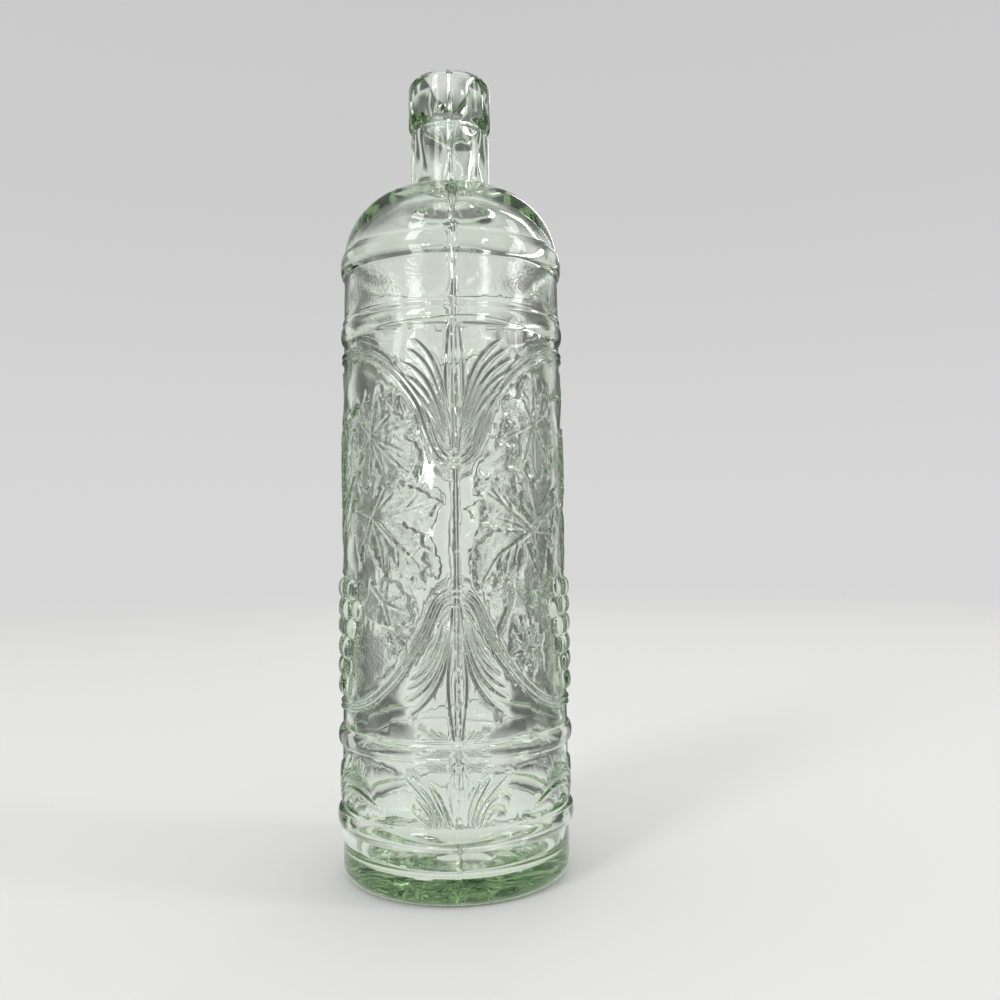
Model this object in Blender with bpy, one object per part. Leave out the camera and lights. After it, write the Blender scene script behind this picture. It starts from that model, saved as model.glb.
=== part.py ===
"""Embossed glass bottle: a moulded, open bottle with four rings, a cork lip and a vine pattern.

The bottle stands on its base at the origin, its axis along +Z. The two mould halves meet on the
seams at -Y and +Y, and the middle of each half's vine panel looks along +X and -X.
"""
import math

import bmesh
import bpy
import numpy as np
from mathutils import Vector
from mathutils.geometry import delaunay_2d_cdt

mm = 0.001

# The outside of the bottle
bottle_height = 292.0 * mm
body_foot_radius = 41.3 * mm
body_top_radius = 39.6 * mm
heel_radius = 5.0 * mm
foot_land_width = 3.0 * mm
push_up = 6.0 * mm

# The inside of the bottle
wall = 3.0 * mm
mouth_bore_radius = 9.3 * mm
base_thickness = 8.0 * mm
floor_corner_radius = 6.0 * mm

# The shoulder, the neck and the lip
neck_length = 43.4 * mm
shoulder_rise = 25.5 * mm
neck_radius = 14.8 * mm
neck_fillet = 2.4 * mm
lip_radius = 15.4 * mm
lip_length = 18.0 * mm
lip_round = 3.4 * mm
mouth_round = 1.2 * mm
groove_depth = 0.9 * mm
groove_width = 4.4 * mm

# The rings round the body: the place of each middle, its width and how far it stands out. The
# lower two are placed from the base. The shoulder ring hangs below the line where the shoulder
# begins, and the collar ring below the shoulder ring.
heel_ring_height = 22.2 * mm
heel_ring_width = 7.0 * mm
heel_ring_proud = 1.9 * mm
foot_ring_height = 50.5 * mm
foot_ring_width = 6.8 * mm
foot_ring_proud = 1.6 * mm
collar_ring_drop = 25.6 * mm
collar_ring_width = 6.4 * mm
collar_ring_proud = 1.2 * mm
collar_bead_width = 2.4 * mm
collar_bead_proud = 0.6 * mm
shoulder_ring_drop = 2.5 * mm
shoulder_ring_width = 8.8 * mm
shoulder_ring_proud = 1.4 * mm

# Heights that follow from the sizes above
shoulder_height = bottle_height - neck_length
shoulder_foot = shoulder_height - shoulder_rise
shoulder_ring_height = shoulder_foot - shoulder_ring_drop
collar_ring_height = shoulder_ring_height - collar_ring_drop

# The mould seam
seam_half_width = 0.6 * mm
seam_proud = 0.35 * mm

# The relief: how far each kind of line stands out of the wall, and its half width
frame_proud = 0.7 * mm
frame_half_width = 0.6 * mm
frame_line_spacing = 2.0 * mm
blade_proud = 0.9 * mm
blade_half_width = 0.95 * mm
blade_root_share = 0.35
spindle_half_width = 1.1 * mm
leaf_proud = 0.8 * mm
leaf_edge_width = 0.5 * mm
vein_proud = 0.5 * mm
vein_half_width = 0.7 * mm
vein_reach_share = 0.85
stem_proud = 0.8 * mm
stem_half_width = 0.6 * mm
stem_root_share = 0.8
grape_radius = 3.7 * mm
grape_proud = 1.8 * mm
grape_gap = 0.5 * mm
grape_row_angle = 60.0

# How finely the round parts and the relief are cut
columns_per_half = 18
ring_rows = 4
bead_rows = 2
shoulder_rows = 6
inner_shoulder_rows = 4
corner_rows = 3
inner_corner_rows = 2
mouth_rows = 2
grape_sides = 6
grape_ring_shares = [1.0, 0.6]
blade_pieces = 5
spindle_pieces = 2
vein_pieces = 2
band_blade_pieces = 4
frame_pieces = 1
stem_pieces = 2
inner_column_step = 2
ground_spacing = 8.5 * mm
relief_clearance = 2.6 * mm
weld_distance = 0.02 * mm
seam_weld = 0.001 * mm
sharp_edge_angle = 40.0

glass_colour = (0.80, 0.93, 0.85, 1.0)
glass_roughness = 0.03
glass_ior = 1.52

# The vine panel's frame. Each pair is a share of the quarter turn from the seam to the middle of
# the panel and a share of the rise from the waist at the seam to the panel's middle.
upper_frame_shares = [
    (0.0, 0.0), (0.055, 0.02), (0.11, 0.11), (0.165, 0.33), (0.205, 0.5), (0.28, 0.66),
    (0.345, 0.775), (0.41, 0.855), (0.47, 0.91), (0.555, 0.96), (0.67, 0.985), (0.83, 0.997),
    (1.0, 1.0),
]
lower_frame_shares = [
    (0.0, 0.0), (0.055, 0.025), (0.1, 0.08), (0.135, 0.175), (0.165, 0.29), (0.205, 0.405),
    (0.255, 0.525), (0.31, 0.64), (0.37, 0.74), (0.42, 0.81), (0.5, 0.895), (0.61, 0.96),
    (0.78, 0.99), (1.0, 1.0),
]

# Heights on the barrel, as shares of the height between the foot ring and the collar ring
upper_waist_share = 0.657
upper_frame_top_share = 0.954
lower_waist_share = 0.361
lower_frame_foot_share = 0.062
upper_fan_root_share = 0.695
upper_fan_reach_share = 0.276
upper_fan_spread_share = 0.333
lower_fan_root_share = 0.302
lower_fan_reach_share = 0.247
lower_fan_spread_share = 0.289

# Blades of the fans: root, bend and tip, as shares of the fan's spread and of its reach
upper_fan_blade_shares = [
    [(0.057, 0.026), (0.167, 0.88), (0.833, 0.987)],
    [(0.10, 0.053), (0.233, 0.776), (0.933, 0.908)],
    [(0.143, 0.079), (0.30, 0.697), (1.0, 0.829)],
    [(0.187, 0.105), (0.333, 0.539), (0.933, 0.724)],
    [(0.207, 0.13), (0.383, 0.43), (0.80, 0.56)],
]
lower_fan_blade_shares = [
    [(0.077, 0.0), (0.154, 0.81), (0.942, 0.99)],
    [(0.123, 0.04), (0.231, 0.69), (0.98, 0.838)],
    [(0.177, 0.07), (0.277, 0.60), (0.96, 0.735)],
    [(0.231, 0.10), (0.327, 0.50), (0.827, 0.588)],
]
upper_spindle_shares = [(0.05, 0.02), (0.115, 0.58), (0.05, 1.05)]
lower_spindle_shares = [(0.06, 0.0), (0.13, 0.70), (0.05, 1.14)]

# Blades of the low band between the heel ring and the foot ring: places as shares of the quarter
# turn from the seam and of the band's height, first right of the seam, then left of it
band_right_blade_shares = [
    [(0.03, 0.03), (0.045, 0.52), (0.11, 0.72)],
    [(0.05, 0.03), (0.07, 0.50), (0.17, 0.77)],
    [(0.07, 0.03), (0.09, 0.50), (0.285, 0.84)],
    [(0.095, 0.03), (0.12, 0.44), (0.22, 0.60), (0.28, 0.38)],
    [(0.12, 0.03), (0.14, 0.22), (0.20, 0.36), (0.25, 0.15)],
]
band_left_blade_shares = [
    [(0.045, 0.03), (0.08, 0.42), (0.15, 0.68)],
    [(0.085, 0.03), (0.12, 0.36), (0.17, 0.55), (0.28, 0.76)],
    [(0.11, 0.03), (0.135, 0.24), (0.17, 0.38), (0.22, 0.46)],
    [(0.14, 0.03), (0.16, 0.15), (0.19, 0.22), (0.24, 0.24)],
]
band_spindle_shares = [(0.016, 0.97), (0.034, 0.50), (0.016, 0.04)]

# The spray in the middle of the band, as shares of the quarter turn from the panel's middle
band_spray_shares = [
    [(0.02, 0.03), (0.05, 0.60), (0.20, 0.86)],
    [(0.05, 0.03), (0.12, 0.62), (0.40, 0.74)],
    [(0.08, 0.03), (0.20, 0.75), (0.42, 0.62), (0.60, 0.14)],
]

# Vine leaves: the heart, then lobe by lobe the points of the edge, as shares of the quarter turn
# from the panel's middle and of the barrel's height. A vein runs towards each lobe's far point.
upper_left_leaf_shares = ((-0.53, 0.765), [
    [(-0.69, 0.70), (-0.77, 0.71), (-0.72, 0.77)],
    [(-0.72, 0.82), (-0.66, 0.85), (-0.61, 0.86)],
    [(-0.56, 0.88), (-0.46, 0.87), (-0.42, 0.845)],
    [(-0.385, 0.84), (-0.345, 0.815), (-0.365, 0.775)],
    [(-0.32, 0.74), (-0.315, 0.695), (-0.365, 0.675)],
    [(-0.38, 0.65), (-0.445, 0.63), (-0.50, 0.625), (-0.555, 0.63)],
    [(-0.62, 0.65), (-0.70, 0.66), (-0.67, 0.68)],
])
lower_left_leaf_shares = ((-0.555, 0.50), [
    [(-0.645, 0.615), (-0.76, 0.625), (-0.895, 0.615), (-0.85, 0.56), (-0.865, 0.52),
     (-0.69, 0.50)],
    [(-0.775, 0.50), (-0.87, 0.47), (-0.91, 0.41), (-0.88, 0.36), (-0.805, 0.385)],
    [(-0.79, 0.37), (-0.745, 0.39), (-0.72, 0.37), (-0.67, 0.41), (-0.65, 0.40), (-0.605, 0.455)],
    [(-0.555, 0.46), (-0.52, 0.42), (-0.465, 0.39), (-0.445, 0.435)],
    [(-0.42, 0.465), (-0.355, 0.46), (-0.29, 0.495)],
    [(-0.245, 0.545), (-0.265, 0.59), (-0.335, 0.605), (-0.42, 0.575), (-0.51, 0.535)],
])
upper_right_leaf_shares = ((0.51, 0.735), [
    [(0.685, 0.79), (0.735, 0.775), (0.79, 0.78), (0.77, 0.73)],
    [(0.79, 0.70), (0.775, 0.63), (0.68, 0.65)],
    [(0.635, 0.625), (0.565, 0.615), (0.52, 0.63)],
    [(0.48, 0.615), (0.41, 0.615), (0.335, 0.675)],
    [(0.30, 0.72), (0.345, 0.755), (0.31, 0.80)],
    [(0.365, 0.825), (0.42, 0.825), (0.49, 0.805)],
    [(0.545, 0.825), (0.60, 0.815), (0.64, 0.795)],
])
lower_right_leaf_shares = ((0.52, 0.535), [
    [(0.69, 0.625), (0.78, 0.605), (0.935, 0.57), (0.87, 0.535), (0.725, 0.515)],
    [(0.83, 0.49), (0.845, 0.445), (0.83, 0.375), (0.78, 0.39)],
    [(0.715, 0.39), (0.635, 0.43)],
    [(0.60, 0.40), (0.555, 0.42), (0.515, 0.45), (0.445, 0.47)],
    [(0.42, 0.42), (0.39, 0.46), (0.355, 0.51)],
    [(0.31, 0.545), (0.335, 0.59), (0.40, 0.575)],
    [(0.445, 0.615), (0.51, 0.59), (0.58, 0.62), (0.645, 0.605)],
])
low_right_leaf_shares = ((0.60, 0.325), [
    [(0.70, 0.275), (0.775, 0.295), (0.745, 0.32)],
    [(0.755, 0.34), (0.69, 0.38), (0.635, 0.38)],
    [(0.59, 0.39), (0.545, 0.37)],
    [(0.50, 0.38), (0.48, 0.34), (0.445, 0.32), (0.47, 0.29), (0.535, 0.28)],
])
low_left_leaf_shares = ((-0.59, 0.21), [
    [(-0.655, 0.17), (-0.71, 0.22), (-0.665, 0.255)],
    [(-0.60, 0.265), (-0.52, 0.245)],
    [(-0.49, 0.21), (-0.52, 0.175), (-0.59, 0.155)],
])
middle_leaf_shares = ((0.0, 0.705), [
    [(-0.06, 0.615), (0.0, 0.565), (0.06, 0.615)],
    [(0.11, 0.59), (0.165, 0.605), (0.155, 0.64)],
    [(0.195, 0.665), (0.16, 0.69), (0.205, 0.72), (0.18, 0.755), (0.115, 0.75)],
    [(0.08, 0.775), (0.0, 0.73), (-0.08, 0.775)],
    [(-0.115, 0.75), (-0.18, 0.755), (-0.205, 0.72), (-0.16, 0.69), (-0.195, 0.665)],
    [(-0.155, 0.64), (-0.165, 0.605), (-0.11, 0.59)],
])
leaves_shares = [
    upper_left_leaf_shares, lower_left_leaf_shares, upper_right_leaf_shares,
    lower_right_leaf_shares, low_right_leaf_shares, low_left_leaf_shares, middle_leaf_shares,
]

# Stems and tendrils of the vine, on the same shares
stem_shares = [
    [(0.0, 0.93), (-0.04, 0.85), (0.04, 0.785), (0.0, 0.71)],
    [(-0.53, 0.765), (-0.38, 0.825), (-0.22, 0.85), (-0.035, 0.85)],
    [(0.51, 0.735), (0.40, 0.775), (0.24, 0.815), (0.04, 0.79)],
    [(0.0, 0.565), (0.03, 0.51), (-0.03, 0.46), (0.0, 0.39)],
    [(-0.51, 0.525), (-0.31, 0.605), (-0.18, 0.55), (-0.02, 0.47)],
    [(0.52, 0.535), (0.37, 0.655), (0.155, 0.535), (0.02, 0.495)],
    [(-0.69, 0.355), (-0.71, 0.315), (-0.75, 0.275), (-0.785, 0.24)],
    [(0.615, 0.245), (0.635, 0.235), (0.68, 0.235), (0.745, 0.21)],
]

# The bunch of grapes hangs in the middle of the panel, row below row
grape_top_share = 0.355
grapes_in_row = [6, 7, 6, 5, 4, 3]


def body_radius(z):
    """Outer radius of the plain wall at a height: the mould's slight taper."""
    share = (z - heel_radius) / (shoulder_ring_height - heel_radius)
    share = min(max(share, 0.0), 1.0)
    return body_foot_radius + (body_top_radius - body_foot_radius) * share


def band_limits():
    """Lower and upper edge of the low band's relief."""
    low = heel_ring_height + heel_ring_width / 2
    high = foot_ring_height - foot_ring_width / 2
    return low, high


def barrel_limits():
    """Lower and upper edge of the barrel's relief."""
    low = foot_ring_height + foot_ring_width / 2
    high = collar_ring_height - collar_ring_width / 2
    return low, high


# Turned profile


def ring_profile(height, width, proud, steps):
    """Half-round ring on the body wall, from its lower edge to its upper edge."""
    points = []
    for k in range(steps + 1):
        turn = math.pi * k / steps
        z = height - math.cos(turn) * width / 2
        points.append((body_radius(z) + math.sin(turn) * proud, z))
    return points


def arc(centre_r, centre_z, size_r, size_z, start, end, steps):
    """Points on an elliptical arc between two angles in degrees, both ends included."""
    points = []
    for k in range(steps + 1):
        turn = math.radians(start + (end - start) * k / steps)
        points.append((centre_r + size_r * math.cos(turn), centre_z + size_z * math.sin(turn)))
    return points


def base_profile():
    """From the middle of the push-up out to the wall above the heel."""
    heel_edge = body_foot_radius - heel_radius
    land_inner = heel_edge - foot_land_width
    points = arc(0.0, 0.0, land_inner, push_up, 90, 0, ring_rows)
    points += arc(heel_edge, heel_radius, heel_radius, heel_radius, -90, 0, corner_rows)
    return points


def outer_top_profile():
    """From the collar ring up the shoulder and the neck to the lip's top."""
    bead_height = collar_ring_height + collar_ring_width / 2 + collar_bead_width / 2
    points = ring_profile(collar_ring_height, collar_ring_width, collar_ring_proud, ring_rows)
    points += ring_profile(bead_height, collar_bead_width, collar_bead_proud, bead_rows)[1:]
    points += ring_profile(shoulder_ring_height, shoulder_ring_width, shoulder_ring_proud,
                           ring_rows)
    width = body_radius(shoulder_foot) - neck_radius
    shoulder = arc(neck_radius, shoulder_foot, width, shoulder_rise, 0, 90, shoulder_rows)
    top_of_ring = shoulder_ring_height + shoulder_ring_width / 2
    shoulder = [p for p in shoulder if p[1] > top_of_ring and p[0] > neck_radius + neck_fillet]
    points += shoulder
    points.append((neck_radius + neck_fillet / 4, shoulder[-1][1] + neck_fillet / 2))
    points.append((neck_radius, shoulder[-1][1] + neck_fillet * 1.5))
    lip_foot = bottle_height - lip_length
    points.append((neck_radius, lip_foot - groove_width))
    points.append((neck_radius - groove_depth, lip_foot - groove_width / 2))
    points.append((neck_radius - groove_depth, lip_foot - groove_width / 4))
    points.append((lip_radius, lip_foot + groove_width / 8))
    points += arc(lip_radius - lip_round, bottle_height - lip_round, lip_round, lip_round, 0, 90,
                  corner_rows)
    return points


def inner_profile():
    """From the mouth's edge down the bore, the shoulder and the wall to the middle of the floor."""
    points = arc(mouth_bore_radius + mouth_round, bottle_height - mouth_round, -mouth_round,
                 mouth_round, 90, 0, mouth_rows)
    bore_radius = mouth_bore_radius
    wide = body_radius(shoulder_foot) - wall
    shoulder = arc(bore_radius, shoulder_foot, wide - bore_radius, shoulder_rise - wall, 90, 0,
                   inner_shoulder_rows)
    points.append((bore_radius, shoulder_height - wall + neck_fillet))
    points += [(bore_radius + neck_fillet / 4, shoulder_height - wall)] + shoulder[1:]
    floor_edge = base_thickness + floor_corner_radius
    foot_r = body_radius(floor_edge) - wall
    points += arc(foot_r - floor_corner_radius, floor_edge, floor_corner_radius,
                  floor_corner_radius, 0, -90, inner_corner_rows)
    inner_floor = arc(0.0, base_thickness, foot_r - floor_corner_radius, push_up, 0, 90,
                      inner_corner_rows)
    points += inner_floor[1:]
    return points


# Relief laid out flat: x runs along the wall from one seam to the other, y is the height


def girth():
    """Length of the wall from seam to seam, at the middle of the barrel."""
    return math.pi * flat_radius()


def flat_radius():
    """Radius at which lengths along the wall are true."""
    low, high = barrel_limits()
    return body_radius((low + high) / 2)


def smooth_path(points, pieces):
    """A smooth line through hand-placed points, cut into so many pieces between each two."""
    p = [np.array(q, float) for q in points]
    p = [2 * p[0] - p[1]] + p + [2 * p[-1] - p[-2]]
    line = []
    for k in range(1, len(p) - 2):
        for step in range(pieces):
            t = step / pieces
            a = 2 * p[k]
            b = (p[k + 1] - p[k - 1]) * t
            c = (2 * p[k - 1] - 5 * p[k] + 4 * p[k + 1] - p[k + 2]) * t * t
            d = (3 * p[k] - p[k - 1] - 3 * p[k + 1] + p[k + 2]) * t * t * t
            line.append((a + b + c + d) / 2)
    line.append(p[-2])
    return np.array(line)


def bend_path(points, pieces):
    """A Bezier line from the first point to the last, bent towards those between."""
    line = []
    for k in range(pieces + 1):
        t = k / pieces
        level = [np.array(q, float) for q in points]
        while len(level) > 1:
            level = [a + (b - a) * t for a, b in zip(level, level[1:])]
        line.append(level[0])
    return np.array(line)


def line_ridge(path, half_width, proud):
    """A raised line of even width."""
    count = len(path)
    return {"path": path, "half": np.full(count, half_width), "proud": np.full(count, proud)}


def blade_ridge(path, half_width, proud, root_share=blade_root_share):
    """A raised blade: narrow at the root, widest past the middle and pointed at the tip."""
    t = np.linspace(0, 1, len(path))
    half = half_width * (root_share * (1 - t) + np.sin(math.pi * t ** 1.3))
    height = proud * (4 * t * (1 - t)) ** 0.4
    return {"path": path, "half": np.maximum(half, 0), "proud": height}


def mirrored(points):
    """The same points measured from the other seam."""
    return [(girth() - x, y) for x, y in points]


def frame_ridges():
    """The double lines that frame the vine panel above and below."""
    low, high = barrel_limits()
    tall = high - low
    quarter = girth() / 2
    ridges = []
    frames = [
        (upper_frame_shares, upper_waist_share, upper_frame_top_share, 1),
        (lower_frame_shares, lower_waist_share, lower_frame_foot_share, -1),
    ]
    for shares, waist_share, end_share, side in frames:
        waist = low + tall * waist_share
        end = low + tall * end_share
        half = [(quarter * a, waist + (end - waist) * b) for a, b in shares]
        whole = half + [(girth() - x, y) for x, y in reversed(half[:-1])]
        line = smooth_path(whole, frame_pieces)
        ridges.append(line_ridge(line, frame_half_width, frame_proud))
        ridges.append(line_ridge(beside(line, frame_line_spacing * side), frame_half_width,
                                 frame_proud))
    return ridges


def beside(line, distance):
    """The line moved sideways by a distance, its ends kept on the seams."""
    along = np.gradient(line, axis=0)
    along /= np.linalg.norm(along, axis=1)[:, None]
    moved = line + np.stack([-along[:, 1], along[:, 0]], axis=1) * distance
    moved[0] = (line[0][0], line[0][1] + distance)
    moved[-1] = (line[-1][0], line[-1][1] + distance)
    return moved


def fan_ridges(root, reach, spread, blades, spindle):
    """One half of a fan of blades beside the seam, and the same beside the other seam."""
    ridges = []
    for mirror in (False, True):
        for shares in blades + [spindle]:
            points = [(spread * a, root + reach * b) for a, b in shares]
            if mirror:
                points = mirrored(points)
            if shares is spindle:
                path = smooth_path(points, spindle_pieces)
                ridges.append(blade_ridge(path, spindle_half_width, blade_proud))
            else:
                path = bend_path(points, blade_pieces)
                ridges.append(blade_ridge(path, blade_half_width, blade_proud))
    return ridges


def barrel_fans():
    """The fans that rise and fall from the frame's waist at each seam."""
    low, high = barrel_limits()
    tall = high - low
    half_turn = girth()
    ridges = fan_ridges(low + tall * upper_fan_root_share, tall * upper_fan_reach_share,
                        half_turn * upper_fan_spread_share / 2, upper_fan_blade_shares,
                        upper_spindle_shares)
    ridges += fan_ridges(low + tall * lower_fan_root_share, -tall * lower_fan_reach_share,
                         half_turn * lower_fan_spread_share / 2, lower_fan_blade_shares,
                         lower_spindle_shares)
    return ridges


def band_ridges():
    """Sprays of blades in the low band: at each seam and in the middle of the panel."""
    low, high = band_limits()
    tall = high - low
    quarter = girth() / 2
    ridges = []
    sides = [(band_right_blade_shares, False), (band_left_blade_shares, True)]
    for blades, mirror in sides:
        for shares in blades + [band_spindle_shares]:
            points = [(quarter * a, low + tall * b) for a, b in shares]
            if mirror:
                points = mirrored(points)
            is_spindle = shares is band_spindle_shares
            half_width = spindle_half_width if is_spindle else blade_half_width
            path = bend_path(points, band_blade_pieces)
            if is_spindle:
                path = smooth_path(points, spindle_pieces)
            ridges.append(blade_ridge(path, half_width, blade_proud))
    for shares in band_spray_shares:
        for side in (-1, 1):
            points = [(quarter * (1 + side * a), low + tall * b) for a, b in shares]
            ridges.append(blade_ridge(bend_path(points, band_blade_pieces), blade_half_width,
                                      blade_proud))
    return ridges


def panel_point(across_share, up_share):
    """A place on the vine panel, from its middle and from the foot of the barrel."""
    low, high = barrel_limits()
    quarter = girth() / 2
    return quarter * (1 + across_share), low + (high - low) * up_share


def stem_ridges():
    """Stems and tendrils of the vine panel."""
    ridges = []
    for shares in stem_shares:
        path = smooth_path([panel_point(a, b) for a, b in shares], stem_pieces)
        ridges.append(blade_ridge(path, stem_half_width, stem_proud, stem_root_share))
    return ridges


def vine_leaves():
    """Each leaf's edge, and its veins from the heart towards each lobe's far point."""
    leaves = []
    for heart_share, lobes in leaves_shares:
        heart = np.array(panel_point(*heart_share))
        edge = []
        veins = []
        for lobe in lobes:
            points = [np.array(panel_point(a, b)) for a, b in lobe]
            far = max(points, key=lambda point: np.linalg.norm(point - heart))
            path = bend_path([heart, heart + (far - heart) * vein_reach_share], vein_pieces)
            veins.append(line_ridge(path, vein_half_width, leaf_proud + vein_proud))
            edge += points
        leaves.append({"edge": np.array(edge), "veins": veins})
    return leaves


def grape_places():
    """Middles of the grapes, in as many rows as fit above the frame's foot, each set between the last."""
    low, high = barrel_limits()
    pitch = 2 * grape_radius + grape_gap
    top = low + (high - low) * grape_top_share
    foot = low + (high - low) * lower_frame_foot_share + frame_half_width
    places = []
    for row, count in enumerate(grapes_in_row):
        y = top - row * pitch * math.sin(math.radians(grape_row_angle))
        if y - grape_radius < foot:
            break
        for k in range(count):
            x = girth() / 2 + (k - (count - 1) / 2) * pitch
            places.append((x, y))
    return places


def away_from(points, start, end):
    """Distance of each point from a straight piece, and how far along it the nearest place is."""
    along = end - start
    t = np.clip((points - start) @ along / (along @ along), 0, 1)
    return np.linalg.norm(points - start - t[:, None] * along, axis=1), t


def leaf_rise_shares(points, edge):
    """Nought outside a leaf, one on its face, and between them on the slope of its edge."""
    inside = np.zeros(len(points), bool)
    nearest = np.full(len(points), leaf_edge_width)
    x, y = points[:, 0], points[:, 1]
    for start, end in zip(edge, np.roll(edge, -1, axis=0)):
        nearest = np.minimum(nearest, away_from(points, start, end)[0])
        if start[1] != end[1]:
            edge_x = start[0] + (y - start[1]) * (end[0] - start[0]) / (end[1] - start[1])
            inside ^= ((start[1] > y) != (end[1] > y)) & (x < edge_x)
    return np.where(inside, nearest / leaf_edge_width, 0.0)


def relief_height(points, ridges, leaves, grapes):
    """How far the glass stands out of the plain wall at each flat point."""
    height = np.zeros(len(points))
    from_seam = np.minimum(points[:, 0], girth() - points[:, 0])
    seam = 1 - np.clip(from_seam / seam_half_width, 0, 1)
    height = np.maximum(height, seam_proud * seam)
    for leaf in leaves:
        height = np.maximum(height, leaf_proud * leaf_rise_shares(points, leaf["edge"]))
    for ridge in ridges + [vein for leaf in leaves for vein in leaf["veins"]]:
        path = ridge["path"]
        for k in range(len(path) - 1):
            away, t = away_from(points, path[k], path[k + 1])
            half = ridge["half"][k] + (ridge["half"][k + 1] - ridge["half"][k]) * t
            proud = ridge["proud"][k] + (ridge["proud"][k + 1] - ridge["proud"][k]) * t
            slope = 1 - np.clip(away / np.maximum(half, weld_distance), 0, 1)
            height = np.maximum(height, proud * slope)
    for place in grapes:
        away = np.linalg.norm(points - np.array(place), axis=1) / grape_radius
        height = np.maximum(height, grape_proud * np.sqrt(np.clip(1 - away ** 2, 0, 1)))
    return height


def ridge_lines(ridge):
    """The crest of a ridge and the foot line round it."""
    path = ridge["path"]
    along = np.gradient(path, axis=0)
    along /= np.linalg.norm(along, axis=1)[:, None]
    side = np.stack([-along[:, 1], along[:, 0]], axis=1) * ridge["half"][:, None]
    return [path, path + side, path - side]


def leaf_lines(leaf):
    """The foot of a leaf's edge, the line where the edge has risen, and the veins."""
    edge = leaf["edge"]
    along = np.roll(edge, -1, axis=0) - np.roll(edge, 1, axis=0)
    along /= np.linalg.norm(along, axis=1)[:, None]
    left = np.stack([-along[:, 1], along[:, 0]], axis=1)
    turned = np.sum(edge[:, 0] * np.roll(edge[:, 1], -1) - np.roll(edge[:, 0], -1) * edge[:, 1])
    risen = edge + left * leaf_edge_width * np.sign(turned)
    lines = [np.concatenate([line, line[:1]]) for line in (edge, risen)]
    return lines + [vein["path"] for vein in leaf["veins"]]


def grape_lines(place):
    """The foot of a grape and a ring half way up, with its middle."""
    lines = []
    for share in grape_ring_shares:
        turns = [2 * math.pi * k / grape_sides for k in range(grape_sides + 1)]
        lines.append(np.array([(place[0] + grape_radius * share * math.cos(t),
                                place[1] + grape_radius * share * math.sin(t)) for t in turns]))
    lines.append(np.array([place]))
    return lines


def column_places():
    """Distances from the seam of the columns of points that the turned parts use."""
    step = girth() / columns_per_half
    places = [0.0, seam_half_width]
    places += [step * k for k in range(1, columns_per_half)]
    places += [girth() - seam_half_width, girth()]
    return places


def sheet_lines(low, high):
    """The edges of a relief sheet and the foot lines of the seams."""
    columns = column_places()
    lines = [np.array([(x, y) for x in columns]) for y in (low, high)]
    rows = max(2, round((high - low) / ground_spacing))
    ys = [low + (high - low) * k / rows for k in range(rows + 1)]
    for x in (0.0, seam_half_width, girth() - seam_half_width, girth()):
        lines.append(np.array([(x, y) for y in ys]))
    return lines


def ground_points(low, high, taken):
    """Points of the plain wall, kept clear of the relief's own points."""
    rows = max(2, round((high - low) / ground_spacing))
    step = girth() / columns_per_half
    free = []
    for row in range(1, rows):
        y = low + (high - low) * row / rows
        shift = 0.5 if row % 2 else 0.0
        for k in range(1, columns_per_half):
            x = step * (k + shift)
            if x > girth() - step / 2:
                continue
            away = np.min(np.linalg.norm(taken - np.array([x, y]), axis=1))
            if away > relief_clearance:
                free.append((x, y))
    return free


def relief_sheet(low, high, ridges, leaves, grapes):
    """Triangulated flat sheet of one mould half, with the height of the relief at each point."""
    lines = sheet_lines(low, high)
    for ridge in ridges:
        lines += ridge_lines(ridge)
    for leaf in leaves:
        lines += leaf_lines(leaf)
    for place in grapes:
        lines += grape_lines(place)
    points = []
    edges = []
    for line in lines:
        first = len(points)
        inside = [(min(max(x, 0.0), girth()), min(max(y, low), high)) for x, y in line]
        points += inside
        edges += [(first + k, first + k + 1) for k in range(len(inside) - 1)]
    points += ground_points(low, high, np.array(points))
    # The triangulation works in millimetres, so that its merge distance is not lost in rounding
    flat = [Vector((x / mm, y / mm)) for x, y in points]
    verts, _, faces, _, _, _ = delaunay_2d_cdt(flat, edges, [], 0, weld_distance / mm)
    verts = np.array([(v.x * mm, v.y * mm) for v in verts])
    return verts, relief_height(verts, ridges, leaves, grapes), faces


def add_sheet(mesh, sheet, turn):
    """Wrap one relief sheet round its half of the wall."""
    flat, height, faces = sheet
    made = []
    for (x, y), proud in zip(flat, height):
        made.append(mesh.verts.new(wall_point(x, y, body_radius(y) + proud, turn)))
    for face in faces:
        corners = [made[k] for k in face]
        mesh.faces.new(corners)


def wall_point(x, z, radius, turn):
    """Place on the wall: x along the wall from the seam at -Y, then turned to its mould half."""
    angle = x / flat_radius() + turn
    return Vector((radius * math.sin(angle), -radius * math.cos(angle), z))


def turned_columns(inside):
    """Where the points of a turned row lie: along the wall from a seam, and the half's turn."""
    columns = []
    step = girth() / columns_per_half
    for turn in (0.0, math.pi):
        if inside:
            columns += [(step * k, turn) for k in range(0, columns_per_half, inner_column_step)]
        else:
            columns += [(x, turn) for x in column_places()[:-1]]
    return columns


def add_row(mesh, radius, z, columns, seamed):
    """One row of points round the axis, or one point on it."""
    if radius < weld_distance:
        return [mesh.verts.new((0.0, 0.0, z))]
    row = []
    for x, turn in columns:
        out = seam_proud if seamed and x == 0.0 else 0.0
        row.append(mesh.verts.new(wall_point(x, z, radius + out, turn)))
    return row


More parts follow.
